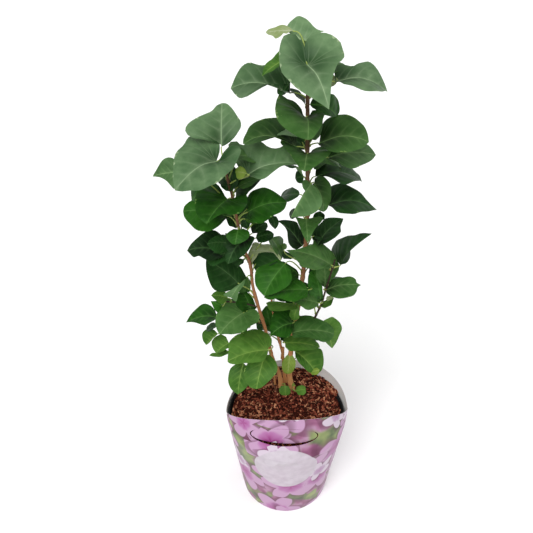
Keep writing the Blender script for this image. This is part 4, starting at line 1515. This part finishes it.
def make_soil_litter():
    """Composted bark: dark, red and tan chips, matt and woody, and a few lumps of black peat."""
    draw = np.random.default_rng(SEED + 2)
    gathered = Joined()
    scatter_litter(gathered, draw)
    heap_rim_chips(gathered, draw)
    piece = gathered.make(
        "soil_litter",
        mottled("bark_chip_dark", "2C0F09", "4A1E14", 4, 0.85, shine=0.1),
        mottled("bark_chip_red", "642C1E", "94503C", 4, 0.8, shine=0.1),
        mottled("bark_chip_tan", "A0664A", "C8906E", 4, 0.75, shine=0.1),
        mottled("peat_lump", "180705", "280E08", 4, 0.95, shine=0.1))
    for face in piece.data.polygons:
        face.use_smooth = False
    settle(piece, "potting_soil")


# ---------- carry sleeve ----------

CARD = 0.5
SLEEVE_FOOT_Z = 0.6
SLEEVE_FOOT_R = 65
SLEEVE_RIM_R = 86.8
CREASE_SHARPNESS = 1.06
FRONT_TOP_DEPTH, FRONT_TOP_RISE = 57, 52
CORNER_DEPTH, CORNER_RISE = 12, 18
BACK_TOP_DEPTH, BACK_TOP_RISE = 89, 12
# the top edge stands higher on the right than on the left: over the front and up to the creases,
# and over most of the back
CORNER_TILT, BACK_TILT, TILT_POWER = 3, 7.5, 30
FRONT_DEPTH_POWER, FRONT_RISE_POWER, BACK_DEPTH_POWER, BACK_RISE_POWER = 1.3, 1.6, 4, 3
PANEL_ACROSS, PANEL_UP = 90, 48  # parts that a panel's sheet is divided into
HALF_PANEL_DEG = 89.9
HOLE_CENTRE = np.array((-5, -69.6, 190.2))
HOLE_HALF_WIDTH, HOLE_HALF_HEIGHT = 47, 12.6
PLUG_SIDES, PLUG_DEPTH = 120, 44
PANEL_LEAN = math.radians(30)
FLAP_PUSH = math.radians(16)
FLAP_GAP, FLAP_END_GAP = 0.45, 1.3
FLAP_BENDS_WITHIN = 44  # from the middle; the flap's tips stay flush
FLAP_BEND_RUN = 7  # it is bent in full this far below its hinge
FLAP_SHIFT = np.array((0, 0.25, -0.2))
PRINT_UNIT = 100  # the print's map has one unit to so many millimetres
MEAN_SLEEVE_R = 78


def sleeve_point(turn, up):
    """A point on the sleeve's outside: turn is 0 at the front and 90 degrees at the side creases,
    up runs from 0 at the foot, through 1 at the pot's rim, to 2 at the top edge."""
    side, facing = math.sin(turn), math.cos(turn)
    level = math.copysign(abs(facing) ** CREASE_SHARPNESS, facing)
    rim = np.array((SLEEVE_RIM_R * side, -SLEEVE_RIM_R * level, POT_HEIGHT))
    if up <= 1:
        foot = np.array((SLEEVE_FOOT_R * side, -SLEEVE_FOOT_R * facing, SLEEVE_FOOT_Z))
        return foot + (rim - foot) * up
    if facing > 0:
        depth = -CORNER_DEPTH - (FRONT_TOP_DEPTH - CORNER_DEPTH) * facing**FRONT_DEPTH_POWER
        rise = CORNER_RISE + (FRONT_TOP_RISE - CORNER_RISE) * facing**FRONT_RISE_POWER + CORNER_TILT * side
    else:
        depth = -BACK_TOP_DEPTH * facing - CORNER_DEPTH * abs(side) ** BACK_DEPTH_POWER
        tilt = BACK_TILT + (CORNER_TILT - BACK_TILT) * side**TILT_POWER
        rise = BACK_TOP_RISE + (CORNER_RISE - BACK_TOP_RISE) * abs(side) ** BACK_RISE_POWER + tilt * side
    top = np.array((SLEEVE_RIM_R * side, depth, POT_HEIGHT + rise))
    return rim + (top - rim) * (up - 1)


def sleeve_panel(name, middle_turn):
    """Half of the sleeve: a flat sheet, divided finely and bent to the sleeve's surface."""
    bpy.ops.mesh.primitive_grid_add(x_subdivisions=PANEL_ACROSS, y_subdivisions=PANEL_UP, size=2)
    panel = bpy.context.object
    panel.name = panel.data.name = name
    while panel.data.uv_layers:
        panel.data.uv_layers.remove(panel.data.uv_layers[0])
    turns = [middle_turn + v.co.x * math.radians(HALF_PANEL_DEG) for v in panel.data.vertices]
    ups = [v.co.y + 1 for v in panel.data.vertices]
    for vertex, turn, up in zip(panel.data.vertices, turns, ups):
        vertex.co = sleeve_point(turn, up) * MM
    slant = np.linalg.norm(sleeve_point(0, 2) - sleeve_point(0, 1))
    layout = panel.data.uv_layers.new(name="print")
    for loop in panel.data.loops:
        turn, up = turns[loop.vertex_index], ups[loop.vertex_index]
        run = POT_HEIGHT * min(up, 1) + slant * max(up - 1, 0)
        layout.data[loop.index].uv = (turn * MEAN_SLEEVE_R / PRINT_UNIT, run / PRINT_UNIT)
    return panel


def hole_plug(shrink=0, ends=0):
    """The hand hole's oval as a plug that stands square to the leaning panel. It is narrower than
    the hole by shrink all round, and by ends more at both ends."""
    bpy.ops.mesh.primitive_cylinder_add(vertices=PLUG_SIDES, radius=1, depth=1)
    plug = bpy.context.object
    half_width, half_height = HOLE_HALF_WIDTH - shrink - ends, HOLE_HALF_HEIGHT - shrink
    plug.scale = (half_width * MM, half_height * MM, PLUG_DEPTH * MM)
    plug.rotation_euler = (math.pi / 2 - PANEL_LEAN, 0, 0)
    plug.location = HOLE_CENTRE * MM
    bpy.ops.object.transform_apply(location=True, rotation=True, scale=True)
    return plug


BLOSSOM_SIZES = (84, 66, 48)  # the cell of one blossom in each layer, in millimetres
BLOSSOM_SHARES = (0.9, 0.5, 0.3)  # of the cells in each layer that have a blossom
LAYER_SHIFTS, SHIFT_UP = (3.1, 7.7, 5.3), 0.37
CELL_JITTER = 0.8
PETALS = 5
PETAL_REACH = 0.27  # of its cell: how far a blossom reaches between petals, and as far again along one
CLEFT_TINT, OWN_TINT = 0.4, 0.3  # how far a petal's middle and the blossom itself change its colour
FULL_TURN = 6.28
PETAL_EDGE, SHADOW_REACH, SHADOW_DEPTH = 0.93, 1.45, 0.55
# sizes of the print's patterns in millimetres
DRIFT_MM, WARP_MM, WASH_MM, GREENS_MM, LABEL_GRAIN_MM, CARD_FIBRE_MM = 38.46, 14, 22.22, 43.48, 12.5, 1.667
LABEL_AT, LABEL_SIZE, LABEL_EDGE, LABEL_COVERS = (-2, 130), (44, 47), 0.98, 0.9


def blossom_layer(material, spot, across_mm, colours, shift, share_shown, under):
    """Lays simple round blossoms over the design, one to a cell and each turned its own way, with
    a soft dark shadow round each. Only a share of the cells has one. Returns the design."""
    shifted = add(material, "ShaderNodeMapping", {"Vector": spot, "Location": (shift, SHIFT_UP * shift, 0)})
    scale = PRINT_UNIT / across_mm
    cells = add(material, "ShaderNodeTexVoronoi",
                {"Vector": shifted.outputs[0], "Scale": scale, "Randomness": CELL_JITTER},
                voronoi_dimensions="2D")
    offset = add(material, "ShaderNodeVectorMath", {0: shifted.outputs[0], 1: cells.outputs["Position"]},
                 operation="SUBTRACT")
    parts = add(material, "ShaderNodeSeparateXYZ", {0: offset.outputs[0]})
    own = add(material, "ShaderNodeSeparateXYZ", {0: cells.outputs["Color"]})
    angle = add(material, "ShaderNodeMath", {0: parts.outputs["Y"], 1: parts.outputs["X"]},
                operation="ARCTAN2")
    turned_angle = add(material, "ShaderNodeMath",
                       {0: own.outputs["X"], 1: FULL_TURN, 2: angle.outputs[0]}, operation="MULTIPLY_ADD")
    wound = add(material, "ShaderNodeMath", {0: turned_angle.outputs[0], 1: PETALS / 2},
                operation="MULTIPLY")
    swing = add(material, "ShaderNodeMath", {0: wound.outputs[0]}, operation="COSINE")
    lobe = add(material, "ShaderNodeMath", {0: swing.outputs[0]}, operation="ABSOLUTE")
    reach = add(material, "ShaderNodeMath",
                {0: lobe.outputs[0], 1: PETAL_REACH / scale, 2: PETAL_REACH / scale},
                operation="MULTIPLY_ADD")
    away = add(material, "ShaderNodeVectorMath", {0: offset.outputs[0]}, operation="LENGTH")
    share = add(material, "ShaderNodeMath", {0: away.outputs["Value"], 1: reach.outputs[0]},
                operation="DIVIDE")
    cleft = add(material, "ShaderNodeMath", {0: lobe.outputs[0], 1: CLEFT_TINT, 2: share.outputs[0]},
                operation="MULTIPLY_ADD")
    tinted = add(material, "ShaderNodeMath", {0: own.outputs["Y"], 1: OWN_TINT, 2: cleft.outputs[0]},
                 operation="MULTIPLY_ADD")
    colour = add(material, "ShaderNodeValToRGB", {"Fac": tinted.outputs[0]}, stops=colours)
    shown = add(material, "ShaderNodeMath", {0: own.outputs["Z"], 1: share_shown}, operation="LESS_THAN")
    cover = add(material, "ShaderNodeMapRange",
                {"Value": share.outputs[0], "From Min": 1.0, "From Max": PETAL_EDGE,
                 "To Max": shown.outputs[0]},
                interpolation_type="SMOOTHSTEP")
    near = add(material, "ShaderNodeMapRange",
               {"Value": share.outputs[0], "From Min": SHADOW_REACH, "From Max": 1.0,
                "To Max": shown.outputs[0]},
               interpolation_type="SMOOTHSTEP")
    dimmed = add(material, "ShaderNodeMath", {0: near.outputs[0], 1: SHADOW_DEPTH}, operation="MULTIPLY")
    shaded = add(material, "ShaderNodeMix",
                 {MIX_SHARE: dimmed.outputs[0], MIX_FIRST: under, MIX_SECOND: linear("5A3346")},
                 data_type="RGBA")
    return add(material, "ShaderNodeMix",
               {MIX_SHARE: cover.outputs[0], MIX_FIRST: shaded.outputs[MIXED],
                MIX_SECOND: colour.outputs["Color"]},
               data_type="RGBA").outputs[MIXED]


def printed_face():
    """Coated card, offset printed: a soft design of mauve and lilac blossoms over blurred greens,
    under a satin varnish. A rounded panel on the front is left pale and bare."""
    material, shader = new_material("coated_card_printed", Roughness=0.42, IOR=1.5,
                                    Specular_IOR_Level=0.3)
    spot = add(material, "ShaderNodeUVMap", uv_map="print").outputs[0]
    drift = add(material, "ShaderNodeTexNoise",
                {"Vector": spot, "Scale": PRINT_UNIT / DRIFT_MM, "Detail": 1})
    centred = add(material, "ShaderNodeVectorMath", {0: drift.outputs["Color"], 1: (0.5, 0.5, 0.5)},
                  operation="SUBTRACT")
    warp = WARP_MM / PRINT_UNIT
    warped = add(material, "ShaderNodeVectorMath", {0: centred.outputs[0], 1: (warp, warp, 0), 2: spot},
                 operation="MULTIPLY_ADD").outputs[0]
    wash = add(material, "ShaderNodeTexNoise",
               {"Vector": warped, "Scale": PRINT_UNIT / WASH_MM, "Detail": 2, "Roughness": 0.4})
    ground = add(material, "ShaderNodeValToRGB", {"Fac": wash.outputs["Fac"]},
                 stops=((0.3, "6E3A58"), (0.45, "925C7C"), (0.6, "AA849E"), (0.72, "84486C")))
    leafy = add(material, "ShaderNodeTexNoise",
                {"Vector": warped, "Scale": PRINT_UNIT / GREENS_MM, "Detail": 1})
    green_here = add(material, "ShaderNodeMapRange",
                     {"Value": leafy.outputs["Fac"], "From Min": 0.46, "From Max": 0.54},
                     interpolation_type="SMOOTHSTEP")
    greens = add(material, "ShaderNodeValToRGB", {"Fac": wash.outputs["Fac"]},
                 stops=((0.35, "4E5B42"), (0.5, "727E56"), (0.66, "8F9A62")))
    design = add(material, "ShaderNodeMix",
                 {MIX_SHARE: green_here.outputs[0], MIX_FIRST: ground.outputs["Color"],
                  MIX_SECOND: greens.outputs["Color"]},
                 data_type="RGBA").outputs[MIXED]
    rosy = ((0.1, "701E58"), (0.45, "944480"), (0.85, "A66C9C"), (1.35, "B48EAE"))
    pale = ((0.1, "8A3E78"), (0.4, "A478A0"), (0.85, "AE94AE"), (1.35, "C4B6C4"))
    for across_mm, colours, shift, share_shown in zip(BLOSSOM_SIZES, (rosy, rosy, pale), LAYER_SHIFTS,
                                                      BLOSSOM_SHARES):
        design = blossom_layer(material, warped, across_mm, colours, shift, share_shown, design)
    (label_across, label_up), (label_wide, label_tall) = LABEL_AT, LABEL_SIZE
    from_label = add(material, "ShaderNodeMapping",
                     {"Vector": spot, "Location": (-label_across / label_wide, -label_up / label_tall, 0),
                      "Scale": (PRINT_UNIT / label_wide, PRINT_UNIT / label_tall, 1)})
    label_reach = add(material, "ShaderNodeVectorMath", {0: from_label.outputs[0]}, operation="LENGTH")
    bare = add(material, "ShaderNodeMapRange",
               {"Value": label_reach.outputs["Value"], "From Min": 1.0, "From Max": LABEL_EDGE,
                "To Max": LABEL_COVERS})
    fine = add(material, "ShaderNodeTexNoise",
               {"Vector": spot, "Scale": PRINT_UNIT / LABEL_GRAIN_MM, "Detail": 4})
    panel_tone = add(material, "ShaderNodeValToRGB", {"Fac": fine.outputs["Fac"]},
                     stops=((0.3, "B4ABB4"), (0.7, "C4BDC4")))
    with_panel = add(material, "ShaderNodeMix",
                     {MIX_SHARE: bare.outputs[0], MIX_FIRST: design,
                      MIX_SECOND: panel_tone.outputs["Color"]},
                     data_type="RGBA")
    fibres = add(material, "ShaderNodeTexNoise",
                 {"Vector": spot, "Scale": PRINT_UNIT / CARD_FIBRE_MM, "Detail": 3})
    bump = add(material, "ShaderNodeBump",
               {"Height": fibres.outputs["Fac"], "Strength": 0.06, "Distance": 0.3 * MM})
    link(material, with_panel.outputs[MIXED], shader, "Base Color")
    link(material, bump.outputs["Normal"], shader, "Normal")
    return material


def card_inside():
    """The uncoated inside of the card: pale grey, with the board's speckle."""
    return mottled("uncoated_card_inside", "E4E2E0", "F2F0EE", 1.6, 0.75, 0.15)


def card_edge():
    """The cut edge of the card: bare board, pale and dull."""
    return mottled("cut_card_edge", "CFC8CC", "E6E0E3", 1.2, 0.8, 0.1)


def finish_card(panel, materials):
    """Gives a bent sheet its thickness, with the print outside."""
    for material in materials:
        panel.data.materials.append(material)
    use_modifier(panel, "SOLIDIFY", thickness=CARD * MM, offset=-1, material_offset=1, material_offset_rim=2)


def push_flap(flap):
    """Bends the flap inwards below its hinge along the hole's upper edge."""
    down_panel = np.array((0, -math.sin(PANEL_LEAN), -math.cos(PANEL_LEAN)))
    hinge = HOLE_CENTRE - down_panel * HOLE_HALF_HEIGHT
    for vertex in flap.data.vertices:
        from_hinge = np.array(vertex.co) / MM - hinge
        below = max(0.0, float(from_hinge @ down_panel))
        inside = max(0.0, 1 - (from_hinge[0] / FLAP_BENDS_WITHIN) ** 2)
        bend = FLAP_PUSH * min(1.0, below / FLAP_BEND_RUN) * inside
        y, z = from_hinge[1], from_hinge[2]
        from_hinge[1] = y * math.cos(bend) - z * math.sin(bend)
        from_hinge[2] = y * math.sin(bend) + z * math.cos(bend)
        vertex.co = (hinge + from_hinge + FLAP_SHIFT) * MM


def make_sleeve():
    card = (printed_face(), card_inside(), card_edge())
    front = sleeve_panel("sleeve_front_card", 0)
    flap = sleeve_panel("handle_flap_card", 0)
    back = sleeve_panel("sleeve_back_card", math.pi)
    for panel in (front, flap, back):
        finish_card(panel, card)
    cut_by(front, hole_plug(), "DIFFERENCE")
    cut_by(flap, hole_plug(FLAP_GAP, FLAP_END_GAP), "INTERSECT")
    push_flap(flap)
    for panel, node in ((front, "sleeve_front"), (flap, "handle_flap"), (back, "sleeve_back")):
        smooth_below(panel, CARD_SMOOTH)
        settle(panel, "printed_card", node)


# ---------- studio ----------

FLOOR_SIDE = 14  # metres
PAPER_WASH_MM = 500
WORLD_LIGHT = 0.5
# two broad soft suns: where each shines from, its breadth in degrees and its power
SUNS = (((-0.35, -0.75, 1.0), 45, 2.4), ((0.8, 0.2, 1.0), 80, 0.6))


def make_studio():
    bpy.ops.mesh.primitive_plane_add(size=FLOOR_SIDE)
    floor = bpy.context.object
    floor.name = "studio_floor"
    # Paper: white and matt, with a wash that is barely there.
    material, shader = new_material("studio_paper", Roughness=0.9)
    place = add(material, "ShaderNodeTexCoord").outputs["Object"]
    wash = add(material, "ShaderNodeTexNoise",
               {"Vector": place, "Scale": 1 / (PAPER_WASH_MM * MM), "Detail": 1})
    tone = add(material, "ShaderNodeValToRGB", {"Fac": wash.outputs["Fac"]},
               stops=((0, "FAFAFA"), (1, "FFFFFF")))
    link(material, tone.outputs["Color"], shader, "Base Color")
    floor.data.materials.append(material)
    world = bpy.data.worlds.new("studio")
    bpy.context.scene.world = world
    world.use_nodes = True
    world.node_tree.nodes["Background"].inputs["Color"].default_value = (1, 1, 1, 1)
    world.node_tree.nodes["Background"].inputs["Strength"].default_value = WORLD_LIGHT
    for place, breadth, power in SUNS:
        bpy.ops.object.light_add(type="SUN", location=place)
        lamp = bpy.context.object
        lamp.data.angle = math.radians(breadth)
        lamp.data.energy = power
        lamp.rotation_euler = Vector(place).to_track_quat("Z", "Y").to_euler()
    bpy.context.scene.view_settings.view_transform = "Standard"


# ---------- the whole bush ----------

set_camera()
make_studio()
make_pot()
make_soil()
make_soil_litter()
make_sleeve()
make_stems(make_leaves())
